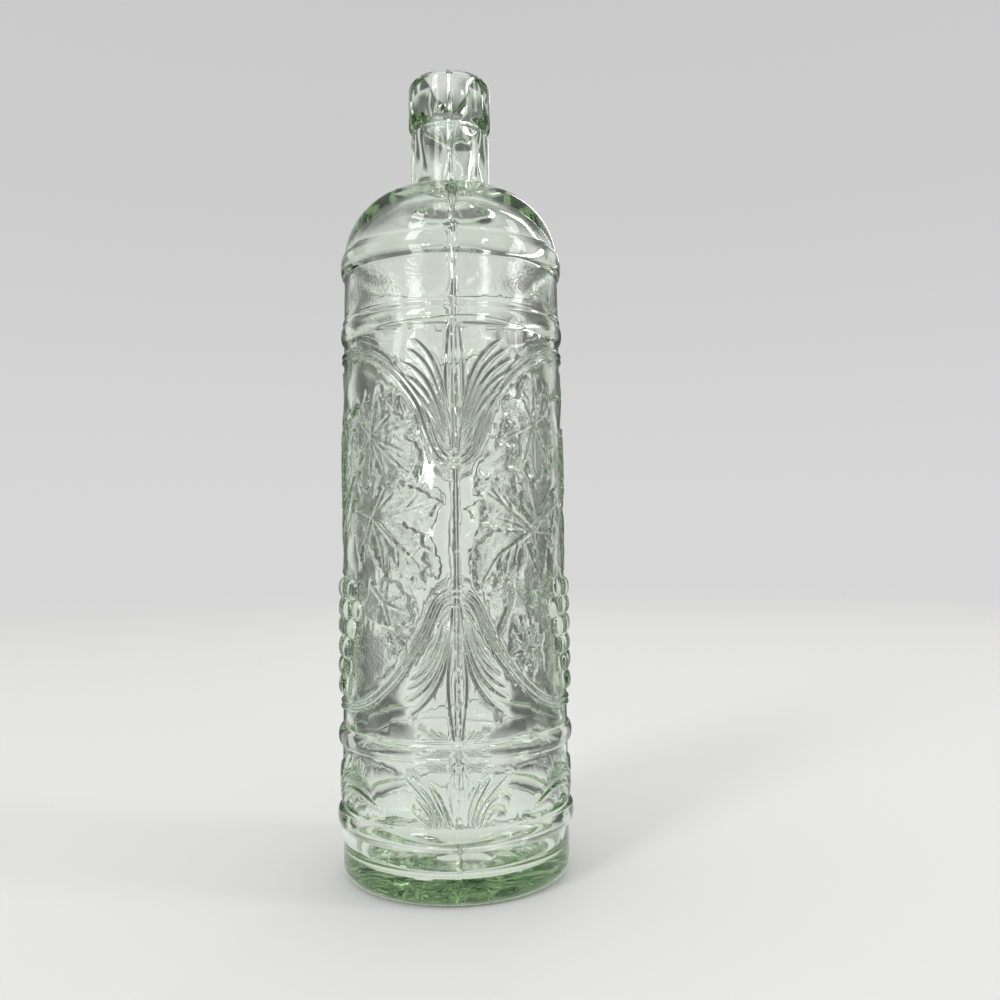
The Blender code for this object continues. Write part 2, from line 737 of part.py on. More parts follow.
def add_turned(mesh, profile, inside=False):
    """Turn a profile round the axis, with the mould seam standing out on the outside."""
    columns = turned_columns(inside)
    rows = []
    for radius, z in profile:
        seamed = not inside and heel_radius < z < bottle_height - lip_round
        rows.append(add_row(mesh, radius, z, columns, seamed))
    for low_row, high_row in zip(rows, rows[1:]):
        for k in range(len(columns)):
            n = (k + 1) % len(columns)
            corners = [low_row[k % len(low_row)], low_row[n % len(low_row)],
                       high_row[n % len(high_row)], high_row[k % len(high_row)]]
            mesh.faces.new(list(dict.fromkeys(corners)))


def add_mouth_land(mesh, outer_radius, inner_radius):
    """The flat top of the lip, between the outer row of points and the bore's coarser row."""
    outer_columns = turned_columns(False)
    inner_columns = turned_columns(True)
    outer = add_row(mesh, outer_radius, bottle_height, outer_columns, False)
    inner = add_row(mesh, inner_radius, bottle_height, inner_columns, False)
    starts = [outer_columns.index(column) for column in inner_columns] + [len(outer)]
    for k in range(len(inner)):
        span = [outer[n % len(outer)] for n in range(starts[k], starts[k + 1] + 1)]
        mesh.faces.new(span + [inner[(k + 1) % len(inner)], inner[k]])


def bottle_mesh():
    """The whole bottle as one closed mesh."""
    mesh = bmesh.new()
    band_low, band_high = band_limits()
    barrel_low, barrel_high = barrel_limits()
    add_turned(mesh, base_profile()
               + ring_profile(heel_ring_height, heel_ring_width, heel_ring_proud, ring_rows))
    add_turned(mesh, ring_profile(foot_ring_height, foot_ring_width, foot_ring_proud, ring_rows))
    top = outer_top_profile()
    add_turned(mesh, top)
    inner = inner_profile()
    add_mouth_land(mesh, top[-1][0], inner[0][0])
    add_turned(mesh, inner, inside=True)
    band_sheet = relief_sheet(band_low, band_high, band_ridges(), [], [])
    ridges = frame_ridges() + barrel_fans() + stem_ridges()
    barrel_sheet = relief_sheet(barrel_low, barrel_high, ridges, vine_leaves(), grape_places())
    for turn in (0.0, math.pi):
        add_sheet(mesh, band_sheet, turn)
        add_sheet(mesh, barrel_sheet, turn)
    bmesh.ops.remove_doubles(mesh, verts=mesh.verts, dist=seam_weld)
    bmesh.ops.recalc_face_normals(mesh, faces=mesh.faces)
    return mesh


def glass_material():
    """Clear glass with a pale sea-green tint."""
    material = bpy.data.materials.new("pale_green_glass")
    material.use_nodes = True
    shader = material.node_tree.nodes["Principled BSDF"]
    shader.inputs["Base Color"].default_value = glass_colour
    shader.inputs["Roughness"].default_value = glass_roughness
    shader.inputs["Metallic"].default_value = 0.0
    shader.inputs["IOR"].default_value = glass_ior
    shader.inputs["Transmission Weight"].default_value = 1.0
    material.diffuse_color = glass_colour
    return material


def clear_scene():
    """Start from an empty scene."""
    for item in list(bpy.data.objects):
        bpy.data.objects.remove(item, do_unlink=True)


def build_bottle():
    """Make the one object of the model."""
    mesh = bottle_mesh()
    data = bpy.data.meshes.new("glass_bottle")
    mesh.to_mesh(data)
    mesh.free()
    data.shade_smooth()
    data.set_sharp_from_angle(angle=math.radians(sharp_edge_angle))
    data.materials.append(glass_material())
    bottle = bpy.data.objects.new("glass_bottle", data)
    bpy.context.scene.collection.objects.link(bottle)
    print("glass_bottle:", len(data.vertices), "points,", len(data.polygons), "faces")
    return bottle


clear_scene()
build_bottle()
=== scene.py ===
import math

import bpy
import numpy as np
from mathutils import Matrix, Vector


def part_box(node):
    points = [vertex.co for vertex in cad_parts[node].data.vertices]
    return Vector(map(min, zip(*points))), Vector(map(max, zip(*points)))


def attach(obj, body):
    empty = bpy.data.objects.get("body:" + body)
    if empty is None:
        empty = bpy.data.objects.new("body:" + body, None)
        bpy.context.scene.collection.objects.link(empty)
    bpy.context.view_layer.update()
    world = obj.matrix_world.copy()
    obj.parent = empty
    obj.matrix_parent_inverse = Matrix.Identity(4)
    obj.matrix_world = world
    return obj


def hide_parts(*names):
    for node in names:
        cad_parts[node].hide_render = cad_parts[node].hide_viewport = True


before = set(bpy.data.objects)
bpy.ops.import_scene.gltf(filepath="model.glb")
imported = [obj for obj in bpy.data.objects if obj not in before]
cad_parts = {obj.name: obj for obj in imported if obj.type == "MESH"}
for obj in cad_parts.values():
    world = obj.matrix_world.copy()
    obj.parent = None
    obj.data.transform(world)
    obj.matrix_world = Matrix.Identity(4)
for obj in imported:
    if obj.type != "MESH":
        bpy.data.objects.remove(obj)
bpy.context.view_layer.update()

mm = 0.001
footCorner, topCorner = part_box("glass_bottle")

bottle = {
    "height": topCorner.z / mm,
    "footRadius": 41.3, "topRadius": 39.6,  # the wall draws in a little towards the shoulder
    "heel": 5.0, "land": 3.0, "pushUp": 6.0,
    "wall": 3.0, "base": 8.0, "floorCorner": 6.0, "floorDome": 6.0,
    "neckLength": 43.4, "shoulderRise": 25.5, "neck": 14.8, "neckFillet": 2.4, "neckRise": 3.2,
    "ringDrop": 2.5, "bandHeight": 25.6,  # shoulder ring under the dome, collar ring under that
    "lip": 15.4, "lipLength": 18.0, "lipRound": 3.4, "bore": 9.3, "mouthRound": 1.2,
    "throatReach": 12.0, "throatRise": 6.0,  # how the bore widens into the dome
    "grooveDepth": 0.9, "grooveWidth": 4.4,
    # the groove under the lip: how far in from the neck or lip, and how far over the lip's foot
    "grooveStart": (0.25, -3.4), "grooveLow": (0.0, -2.0), "grooveTop": (0.05, -1.0),
    "lipEdge": (0.6, 0.8),
}
shoulderTop = bottle["height"] - bottle["neckLength"]
shoulderFoot = shoulderTop - bottle["shoulderRise"]
shoulderRing = shoulderFoot - bottle["ringDrop"]
collarRing = shoulderRing - bottle["bandHeight"]

# Rings round the body: the height of the middle, the width and how far it stands out
rings = {
    "heel": (22.2, 7.0, 1.9),
    "foot": (50.5, 6.8, 1.6),
    "collar": (collarRing, 6.4, 1.2),
    "bead": (collarRing + 4.4, 2.4, 0.6),
    "shoulder": (shoulderRing, 8.8, 1.4),
}

# Into how many pieces a curve is cut, as a whole or between two of its points
cuts = {
    "pushUp": 28, "heel": 14, "dome": 64, "neckFoot": 8, "groove": 4, "lip": 14,
    "mouth": 6, "innerDome": 40, "throat": 12, "floorCorner": 10, "floor": 20,
    "frame": 5, "root": 4, "blade": 14, "spindle": 5, "leafEdge": 6, "vein": 4, "stem": 6,
}

# How finely the glass is cut before it is thinned
mesh = {"columns": 720, "rowStep": 0.35, "plainStep": 1.4, "mostCuts": 24, "triangles": 192000,
        "weld": 2e-6, "nothing": 1e-7}


def bodyRadius(z):
    share = np.clip((z - bottle["heel"]) / (shoulderRing - bottle["heel"]), 0, 1)
    return bottle["footRadius"] + (bottle["topRadius"] - bottle["footRadius"]) * share


def arcPoints(middle, across, up, start, end, steps):
    points = []
    for k in range(steps + 1):
        turn = math.radians(start + (end - start) * k / steps)
        points.append((middle[0] + across * math.cos(turn), middle[1] + up * math.sin(turn)))
    return points


def bendPoints(points, steps):
    # a curve from the first point to the last, bent towards those between
    line = []
    for k in range(steps + 1):
        level = [np.array(p, float) for p in points]
        while len(level) > 1:
            level = [a + (b - a) * k / steps for a, b in zip(level, level[1:])]
        line.append(tuple(level[0]))
    return line


def smoothPoints(points, steps, closed=False):
    # a curve through every point
    p = [np.array(q, float) for q in points]
    if closed:
        p = [p[-1]] + p + [p[0], p[1]]
    else:
        p = [2 * p[0] - p[1]] + p + [2 * p[-1] - p[-2]]
    line = []
    for a, b, c, d in zip(p, p[1:], p[2:], p[3:]):
        for k in range(steps):
            t = k / steps
            line.append((2 * b + (c - a) * t + (2 * a - 5 * b + 4 * c - d) * t ** 2
                         + (3 * b - a - 3 * c + d) * t ** 3) / 2)
    line.append(p[-2])
    return np.array(line)


def softStep(share):
    share = np.clip(share, 0, 1)
    return share * share * (3 - 2 * share)


# Profile of the glass, from the middle of the push-up round the outside to the middle of the floor
def outerProfile():
    b = bottle
    heelEdge = b["footRadius"] - b["heel"]
    points = arcPoints((0, 0), heelEdge - b["land"], b["pushUp"], 90, 0, cuts["pushUp"])
    points += arcPoints((heelEdge, b["heel"]), b["heel"], b["heel"], -90, 0, cuts["heel"])
    points.append((b["topRadius"], shoulderRing))
    points.append((b["topRadius"], shoulderFoot))
    dome = arcPoints((b["neck"], shoulderFoot), b["topRadius"] - b["neck"], b["shoulderRise"],
                     0, 90, cuts["dome"])
    points += [p for p in dome[1:] if p[0] > b["neck"] + b["neckFillet"]]
    topOfDome = points[-1][1]
    points += bendPoints([points[-1], (b["neck"], topOfDome + b["neckRise"] / 8),
                          (b["neck"], topOfDome + b["neckRise"])], cuts["neckFoot"])[1:]
    lipFoot = b["height"] - b["lipLength"]
    waist = b["neck"] - b["grooveDepth"]
    start, low = b["grooveStart"], b["grooveLow"]
    top, edge = b["grooveTop"], b["lipEdge"]
    groove = [(b["neck"], lipFoot - b["grooveWidth"]), (b["neck"] - start[0], lipFoot + start[1]),
              (waist + low[0], lipFoot + low[1]), (waist + top[0], lipFoot + top[1]),
              (b["lip"] - edge[0], lipFoot), (b["lip"], lipFoot + edge[1])]
    points += [tuple(p) for p in smoothPoints(groove, cuts["groove"])]
    points += arcPoints((b["lip"] - b["lipRound"], b["height"] - b["lipRound"]), b["lipRound"],
                        b["lipRound"], 0, 90, cuts["lip"])
    return points


def innerProfile():
    b = bottle
    points = arcPoints((b["bore"] + b["mouthRound"], b["height"] - b["mouthRound"]),
                       b["mouthRound"], b["mouthRound"], 90, 180, cuts["mouth"])
    dome = arcPoints((b["bore"], shoulderFoot), b["topRadius"] - b["wall"] - b["bore"],
                     b["shoulderRise"] - b["wall"], 90, 0, cuts["innerDome"])
    dome = [p for p in dome if p[0] > b["bore"] + b["throatReach"]]
    throat = [(b["bore"], shoulderTop + b["throatRise"]), (b["bore"], shoulderTop - b["wall"]),
              dome[0]]
    points += bendPoints(throat, cuts["throat"]) + dome[1:]
    cornerTop = b["base"] + b["floorCorner"]
    cornerMiddle = float(bodyRadius(cornerTop)) - b["wall"] - b["floorCorner"]
    points += arcPoints((cornerMiddle, cornerTop), b["floorCorner"], b["floorCorner"], 0, -90,
                        cuts["floorCorner"])
    points += arcPoints((0, b["base"]), cornerMiddle, b["floorDome"], 0, 90, cuts["floor"])[1:]
    return points


# The relief, carved on a flat sheet of one mould half: across from seam to seam, and up the wall
sheet = {
    "cell": 0.2, "low": 6.0, "high": 228.0, "softenings": 1,
    "thinnest": 0.05,  # half a line's width at the least
    "facing": 0.5, "slack": 1.0,  # how far outwards the wall looks, and a margin round it
}
barrel = (rings["foot"][0] + rings["foot"][1] / 2, rings["collar"][0] - rings["collar"][1] / 2)
perDegree = math.radians(float(bodyRadius(sum(barrel) / 2)))
across = np.arange(0, 180 * perDegree + sheet["cell"], sheet["cell"])
up = np.arange(sheet["low"], sheet["high"], sheet["cell"])
relief = np.zeros((len(up), len(across)))
stipple = np.zeros((len(up), len(across)))


def onSheet(points, fromSeam=True):
    # degrees from the seam, or from the middle of the panel, become places on the sheet
    shift = 0 if fromSeam else 90
    return np.array([((a + shift) * perDegree, z) for a, z in points])


def otherSide(path):
    return np.array([(180 * perDegree - x, z) for x, z in path])


def seamToSeam(points, steps):
    # a curve given up to the middle of the panel goes on to the other seam
    quarter = smoothPoints(onSheet(points), steps)
    return np.concatenate([quarter, otherSide(quarter[:-1])[::-1]])


def windowRound(points, margin):
    low = points.min(axis=0) - margin
    high = points.max(axis=0) + margin
    cell = sheet["cell"]
    columns = slice(max(0, int(low[0] / cell)), max(0, int(high[0] / cell) + 2))
    rows = slice(max(0, int((low[1] - sheet["low"]) / cell)),
                 max(0, int((high[1] - sheet["low"]) / cell) + 2))
    return rows, columns


def awayFrom(start, end, window):
    # how far each cell of the window is from a straight piece, and the share along it
    rows, columns = window
    x = across[None, columns] - start[0]
    z = up[rows, None] - start[1]
    step = end - start
    along = np.clip((x * step[0] + z * step[1]) / max(step @ step, 1e-9), 0, 1)
    return np.hypot(x - along * step[0], z - along * step[1]), along


def awayFromPath(path, window):
    nearest = None
    for k in range(len(path) - 1):
        away, along = awayFrom(path[k], path[k + 1], window)
        along = (along + k) / (len(path) - 1)
        if nearest is None:
            nearest, where = away, along
            continue
        closer = away < nearest
        nearest = np.where(closer, away, nearest)
        where = np.where(closer, along, where)
    return nearest, where


def raiseLine(path, half, proud, flatness=2):
    # a ridge of changing width and height along a path, round on top or flatter
    half = np.broadcast_to(half, len(path))
    proud = np.broadcast_to(proud, len(path))
    for k in range(len(path) - 1):
        window = windowRound(path[k:k + 2], max(half[k], half[k + 1]))
        away, along = awayFrom(path[k], path[k + 1], window)
        width = np.maximum(half[k] + (half[k + 1] - half[k]) * along, sheet["thinnest"])
        height = proud[k] + (proud[k + 1] - proud[k]) * along
        ridge = height * np.clip(1 - (away / width) ** flatness, 0, 1)
        relief[window] = np.maximum(relief[window], ridge)


def insideOf(outline, window):
    rows, columns = window
    x = across[None, columns]
    z = up[rows, None]
    inside = np.zeros((z.size, x.size), bool)
    for a, b in zip(outline, np.roll(outline, -1, axis=0)):
        if a[1] == b[1]:
            continue
        crosses = (a[1] > z) != (b[1] > z)
        inside ^= crosses & (x < a[0] + (z - a[1]) * (b[0] - a[0]) / (b[1] - a[1]))
    return inside


def softNoise(seed, grain):
    # smooth random field over the sheet, between -1 and 1, with hills about one grain wide
    chance = np.random.default_rng(seed)
    shape = (int(len(up) * sheet["cell"] / grain) + 3, int(len(across) * sheet["cell"] / grain) + 3)
    coarse = chance.uniform(-1, 1, shape)
    coarse[:, -1] = coarse[:, 0]
    rows = np.arange(len(up)) * sheet["cell"] / grain
    columns = np.arange(len(across)) * sheet["cell"] / grain
    rows, columns = np.meshgrid(rows, columns, indexing="ij")
    return readSheet(coarse, rows, columns)


def readSheet(values, rows, columns):
    # the value between the four nearest cells
    rows = np.clip(rows, 0, values.shape[0] - 1.001)
    columns = np.clip(columns, 0, values.shape[1] - 1.001)
    r = rows.astype(int)
    c = columns.astype(int)
    upShare = rows - r
    sideShare = columns - c
    lower = values[r, c] * (1 - sideShare) + values[r, c + 1] * sideShare
    upper = values[r + 1, c] * (1 - sideShare) + values[r + 1, c + 1] * sideShare
    return lower * (1 - upShare) + upper * upShare


def soften(values):
    padded = np.pad(values, 1, mode="edge")
    rows = (padded[:-2] + 2 * padded[1:-1] + padded[2:]) / 4
    return (rows[:, :-2] + 2 * rows[:, 1:-1] + rows[:, 2:]) / 4


# Double lines that frame the vine panel above and below, read off at the front seam
frames = {
    "upper": [(0, 144.3), (5, 145.2), (10, 149), (15, 158), (18.5, 165), (25, 171.5), (31, 176),
              (37, 179.3), (42, 181.5), (50, 183.7), (60, 184.8), (75, 185.2), (90, 185.3)],
    "lower": [(0, 103.6), (5, 102.6), (9, 100.5), (12, 96.5), (15, 91.5), (18.5, 87), (23, 82),
              (28, 77.3), (33, 73.3), (38, 70.3), (45, 66.8), (55, 64.2), (72, 62.9), (90, 62.5)],
    "upperRoot": [(0, 149.4), (4, 150.2), (7.5, 153), (10.5, 159)],
    "lowerRoot": [(0, 98.4), (4, 97.6), (7.5, 94.6), (10.5, 89.5)],
    "spacing": 2.0, "half": 0.75, "proud": 0.88, "rootShare": 0.8, "rootEnd": 0.1,
}


def raiseFrames():
    for name, side in (("upper", 1), ("lower", -1)):
        whole = seamToSeam(frames[name], cuts["frame"])
        step = np.gradient(whole, axis=0)
        step /= np.linalg.norm(step, axis=1)[:, None]
        beside = whole + np.stack([-step[:, 1], step[:, 0]], axis=1) * frames["spacing"] * side
        beside[[0, -1], 0] = whole[[0, -1], 0]
        for line in (whole, beside):
            raiseLine(line, frames["half"], frames["proud"])
        root = smoothPoints(onSheet(frames[name + "Root"]), cuts["root"])
        fade = np.linspace(1, frames["rootEnd"], len(root))
        for line in (root, otherSide(root)):
            raiseLine(line, frames["half"] * frames["rootShare"], frames["proud"] * fade)


# Grass blades: root, bend and tip of each, first right of the seam and then left of it
fans = {
    "upperRight": [
        [(1.7, 150.0), (5.0, 182), (25.5, 187.6)], [(2.9, 150.6), (6.8, 179), (28.5, 184.4)],
        [(4.1, 151.4), (8.6, 176), (31.0, 181.0)], [(5.2, 152.6), (10.0, 171), (29.0, 177.0)],
        [(6.2, 154.5), (11.5, 166), (24.0, 171.0)],
    ],
    "upperLeft": [
        [(1.7, 150.0), (5.2, 182), (21.5, 187.8)], [(2.9, 150.6), (7.0, 180), (25.0, 184.5)],
        [(4.1, 151.4), (9.0, 176), (27.6, 180.0)], [(5.2, 152.6), (10.2, 171), (26.0, 175.6)],
        [(6.2, 154.5), (11.5, 165), (21.0, 170.0)],
    ],
    "lowerRight": [
        [(2.0, 95.4), (4.2, 69.0), (24.5, 61.8)], [(3.2, 94.2), (6.0, 73.0), (25.6, 66.8)],
        [(4.6, 93.0), (7.4, 76.0), (24.6, 70.6)], [(6.0, 91.8), (8.8, 79.5), (21.5, 75.0)],
    ],
    "lowerLeft": [
        [(2.0, 95.4), (4.2, 69.5), (24.5, 61.8)], [(3.2, 94.2), (6.0, 72.4), (25.8, 66.4)],
        [(4.6, 93.0), (7.4, 75.4), (25.0, 70.5)], [(6.0, 91.8), (8.8, 79.0), (22.8, 73.6)],
    ],
    "bandRight": [
        [(2.7, 25.5), (4.0, 37.0), (10.0, 41.0)], [(4.5, 25.5), (6.3, 36.5), (15.3, 42.2)],
        [(6.3, 25.5), (8.1, 36.5), (26.0, 43.8)],
        [(8.5, 25.5), (10.8, 35.0), (20.0, 39.5), (25.5, 34.0)],
        [(10.8, 25.5), (12.6, 31.0), (18.0, 34.0), (22.5, 29.0)],
    ],
    "bandLeft": [
        [(4.0, 25.5), (7.2, 34.7), (13.5, 40.5)],
        [(7.6, 25.5), (10.8, 33.4), (15.3, 37.5), (25, 42.5)],
        [(10.0, 25.5), (12.0, 31.0), (15.3, 34.0), (20.0, 35.8)],
        [(12.6, 25.5), (14.4, 29.0), (17.0, 30.5), (21.5, 31.2)],
    ],
    "bandMiddle": [
        [(1.8, 25.5), (4.5, 38.5), (18.0, 44.0)], [(4.5, 25.5), (10.8, 39.0), (33.0, 41.5)],
        [(6.6, 25.5), (14.0, 38.5), (30.0, 40.5), (46.0, 35.0)],
        [(8.8, 25.5), (18.0, 36.0), (36.0, 38.0), (54.0, 28.7)],
    ],
    "half": 1.05, "rootHalf": 0.36, "proud": 1.05, "flatness": 3,
    "widensTo": 0.6, "tipShare": 0.35, "tipPoint": 0.6,  # where it is widest and how it ends
    "rootProud": 0.35, "rootRise": 4, "tipFall": 5,
}

# Long narrow leaves that stand on the seam, each side of it
spindles = {
    "upper": [(1.2, 149.0), (1.7, 158), (2.4, 172.0), (1.9, 186), (1.0, 198.0)],
    "lower": [(1.2, 97.5), (1.6, 88), (2.4, 73.0), (1.9, 62), (1.0, 53.0)],
    "band": [(0.9, 47.5), (1.5, 42), (2.1, 36.5), (1.6, 31), (1.1, 25.5)],
    "half": 1.5, "endHalf": 0.45, "proud": 0.8, "flatness": 5,
}


def raiseBlade(path):
    # thin at the root, where the blades stand close, widest past the middle, pointed at the tip
    t = np.linspace(0, 1, len(path))
    half = fans["rootHalf"] + (fans["half"] - fans["rootHalf"]) * softStep(t / fans["widensTo"])
    half *= np.clip((1 - t) / fans["tipShare"], 0, 1) ** fans["tipPoint"]
    proud = fans["proud"] * np.clip(fans["tipFall"] * (1 - t), 0, 1) ** 0.5
    proud = proud * np.clip(fans["rootProud"] + fans["rootRise"] * t, 0, 1)
    raiseLine(path, half, proud, fans["flatness"])


def raiseFans():
    for name in ("upper", "lower", "band"):
        for side in ("Right", "Left"):
            for blade in fans[name + side]:
                path = np.array(bendPoints(onSheet(blade), cuts["blade"]))
                raiseBlade(path if side == "Right" else otherSide(path))
        path = smoothPoints(onSheet(spindles[name]), cuts["spindle"])
        t = np.linspace(0, 1, len(path))
        swell = np.sin(math.pi * t) ** 2
        half = spindles["endHalf"] + (spindles["half"] - spindles["endHalf"]) * swell
        for line in (path, otherSide(path)):
            raiseLine(line, half, spindles["proud"], spindles["flatness"])
    for blade in fans["bandMiddle"]:
        for side in (-1, 1):
            points = [(90 + side * a, z) for a, z in blade]
            raiseBlade(np.array(bendPoints(onSheet(points), cuts["blade"])))


def bothSides(half):
    # an outline given on one side, from the tip to the notch over the heart
    return half + [(-a, z) for a, z in half[-2:0:-1]]


# Vine leaves: the heart, the outline and the veins, in degrees from the middle of the panel
leaves = [
    {"heart": (-47.8, 159.6),
     "edge": [(-69.5, 152), (-66, 156), (-61, 158.6), (-64.8, 162), (-66, 166.5), (-62, 168.3),
              (-57.8, 167.5), (-56.5, 171.5), (-51.5, 176), (-47, 173.8), (-44.3, 169.8),
              (-41.5, 171.8), (-36, 172), (-34.5, 167.5), (-37.5, 163), (-32.5, 162), (-27.5, 158),
              (-28.5, 152.5), (-34, 151.8), (-30.5, 147.5), (-32, 142.8), (-38, 142.6),
              (-41.5, 145.6), (-42.5, 141), (-47, 139.2), (-51, 142), (-53.5, 146), (-57, 143.6),
              (-63.5, 144.5), (-62, 148.5), (-59.5, 151)],
     "veins": [[(-54.8, 168)], [(-66, 153.5)], [(-52.2, 150.5), (-54, 146)],
               [(-48.3, 147.5), (-47, 142.5)], [(-40.7, 151.8), (-35, 148)], [(-35.2, 164.6)],
               [(-47, 172)], [(-42, 169.5)], [(-60, 162)]]},
    {"heart": (-50, 122.7),
     "edge": [(-80.4, 139), (-76.2, 139.9), (-68.4, 140), (-63, 138.2), (-58, 138.8), (-52, 136.5),
              (-50, 132), (-46, 128), (-38, 133), (-30, 137.5), (-24, 135), (-22, 129), (-26, 122),
              (-32, 117), (-38, 118), (-40, 114), (-42, 108), (-47, 112), (-50, 117),
              (-55.6, 119.3), (-54.6, 116.4), (-54.8, 113), (-58.3, 108.9), (-60.5, 110.2),
              (-65, 105.2), (-67, 107.4), (-71, 104.6), (-72.5, 107), (-79.3, 103.3), (-81.5, 107),
              (-81.9, 110.5), (-81.5, 112.5), (-79.6, 114.6), (-81.1, 117.1), (-78.5, 119),
              (-74.5, 121.8), (-69.8, 122.9), (-64, 122.2), (-61.5, 122.6), (-65, 123.5),
              (-70, 123.9), (-77.3, 125.5), (-76.2, 127.1), (-77.8, 129), (-76.5, 131),
              (-79.6, 135.5)],
     "veins": [[(-60, 128.5), (-79, 137.5)], [(-60, 128.5), (-66, 134.5)],
               [(-64, 130), (-72, 136.5)],
               [(-63.9, 117.1), (-70, 114.3), (-77.5, 105.8)], [(-66, 116), (-70.5, 110)],
               [(-62, 118), (-66.5, 108.5)], [(-58, 119.5), (-61.5, 112.3)], [(-47, 110)],
               [(-38, 128), (-28, 133)], [(-36, 122)], [(-62, 125.5), (-75, 128)]]},
    {"heart": (46, 155.2),
     "edge": [(61.7, 162.6), (66, 160.5), (70, 162), (72.5, 159.5), (69.5, 156.8), (66.4, 153.8),
              (70.5, 152.6), (73.8, 149), (73.4, 145.5), (71, 143.2), (71.5, 140.2), (66.5, 140.6),
              (61, 143.6), (57, 139.8), (51, 138.5), (48.5, 142.5), (44.5, 138.2), (39, 138.5),
              (38.5, 143.5), (32.5, 142), (29, 147), (33.5, 150.5), (26, 153.5), (28, 158.5),
              (33.5, 158.8), (27.5, 164), (31.5, 168), (37.5, 164.8), (42, 169.5), (45.5, 164.2),
              (51, 169.8), (54.8, 167), (56.5, 163.4)],
     "veins": [[(62.6, 144.9), (69, 141.5)], [(70, 159.5)], [(46, 149), (45, 141)], [(34.7, 163.6)],
               [(57.5, 162)], [(35, 145)], [(60, 151), (69, 148)], [(49, 166)], [(54, 144)]]},
    {"heart": (47, 128),
     "edge": [(65.5, 138.3), (70, 137.6), (75, 136), (79, 134), (84, 132.6), (80.5, 130.8),
              (79.5, 129.3), (78.3, 127.6), (74, 126.6), (70.4, 125.2), (66, 125.6), (65.2, 124.9),
              (70, 123.4), (74.7, 121.3), (74, 118.8), (77.6, 116.8), (74.6, 114.4), (77.2, 111),
              (74.2, 109.3), (75.2, 105.4), (70.4, 107.4), (67.7, 106.4), (64.2, 107.4),
              (60, 111.8), (57, 113.5), (54, 109), (50, 112), (46.5, 116), (40, 118.6), (38, 112),
              (35, 117), (32, 124), (28, 129), (30, 135), (36, 133.5), (40, 139), (46, 135),
              (52, 139.5), (58, 137), (62, 139.8)],
     "veins": [[(55.1, 137.4)], [(59, 135.5)], [(60, 129), (74, 131.4), (82, 132.5)],
               [(62.1, 118.3), (71.3, 112.1), (74, 107)], [(37, 111.8)], [(33, 131)],
               [(64, 130), (72, 135)], [(66, 115), (73, 117.5)], [(60, 119.5), (62, 112)],
               [(52, 118), (54, 111)]]},
    {"heart": (54, 99),
     "edge": [(69.8, 94.6), (67, 98), (68, 101), (64, 103), (62, 106), (57, 106.5), (53, 107.5),
              (49, 105), (45, 106), (43, 101), (40, 98), (42.5, 94), (48, 92.3), (57, 90.8),
              (63, 91.6)],
     "veins": [[(68, 95.5)], [(65, 102)], [(56, 106)], [(47, 104)], [(44, 96)], [(57, 92)]]},
    {"heart": (-53.5, 82.5),
     "edge": [(-65, 81), (-62, 84.5), (-64, 88.5), (-59, 88.3), (-57, 92), (-53, 89.2),
              (-48.5, 91.5), (-47.5, 87.5), (-43, 86.5), (-45.5, 82.5), (-43.5, 78.5),
              (-48, 78.6), (-50, 74.8), (-54, 77.4), (-58.5, 75.2), (-59.5, 79.2)],
     "veins": [[(-62, 86.5)], [(-56.5, 90.2)], [(-49.5, 89.5)], [(-45, 85)], [(-46, 79.5)],
               [(-50.5, 76.8)], [(-57.5, 77)], [(-63, 81.3)]]},
    {"heart": (0, 151),
     "edge": bothSides([(0, 131.5), (3, 135.5), (5.5, 138.5), (10, 135.2), (15, 137), (14, 142),
                        (17.5, 145.5), (14.5, 149), (18.5, 153), (16, 158), (10.5, 157.5),
                        (7, 161), (3.5, 157.5), (0, 154.5)]),
     "veins": [[(0, 133)], [(13, 138.5)], [(-13, 138.5)], [(16.5, 153.5)], [(-16.5, 153.5)],
               [(7, 159)], [(-7, 159)], [(14, 146)], [(-14, 146)]]},
]
# What every leaf's surface is like
leafForm = {
    "base": 0.58, "edge": 0.34,  # how far it stands out, and over what width it rises
    "rim": 0.25, "rimPlace": 0.45, "rimWidth": 0.35,
    "quilt": 0.3, "quiltWidth": 1.7, "quiltEdge": 1.4,  # it swells between the veins
    "vein": 0.5, "veinHalf": 0.62, "veinRoot": 1.15, "veinThins": 0.6,
    "veinTall": 1.1, "veinSinks": 0.5,
    "crumple": 0.14, "fineCrumple": 0.6, "crumpleSeeds": (11, 12), "crumpleGrains": (1.5, 0.8),
    "tooth": 0.8, "toothPitch": 3.3, "fullToothRound": 110.0,  # smaller leaves have smaller teeth
    "stipple": 0.9,
}

# Stems and curling tendrils, on the same measures
stems = {
    "paths": [
        [(0, 182), (-3.6, 171), (3.6, 162), (0, 152)],
        [(-47.8, 159.6), (-42, 164.5), (-34, 168), (-19.8, 171), (-3, 171)],
        [(46, 155.2), (36, 161), (21.6, 166), (3.4, 163)],
        [(0, 132), (2.7, 124), (-2.7, 117), (0, 108)],
        [(-50, 122.7), (-46, 126), (-33, 135), (-28, 137), (-16, 130), (-1.8, 119)],
        [(47, 128), (37, 138.6), (33.3, 144.2), (26, 138), (14, 128), (1.8, 122)],
        [(-62, 103), (-64, 97), (-67.5, 92), (-70.5, 87)],
        [(-62, 93), (-59.5, 91), (-57, 90)],
        [(55.5, 88), (57, 86), (61, 86.5), (64, 84.8), (67, 83)],
        [(62, 168), (60, 165), (57, 166), (55.5, 169), (58, 170.8)],
    ],
    "half": 0.65, "tipHalf": 0.4, "proud": 0.8,
}

# The bunch of grapes that hangs in the middle of the panel, row below row
grapes = {"rows": [6, 7, 6, 5, 4, 3], "top": 102.9, "radius": 3.75, "gap": 0.4, "proud": 1.85,
          "wander": 0.5, "sizeChange": 0.25, "rowAngle": 60.0, "seed": 5}


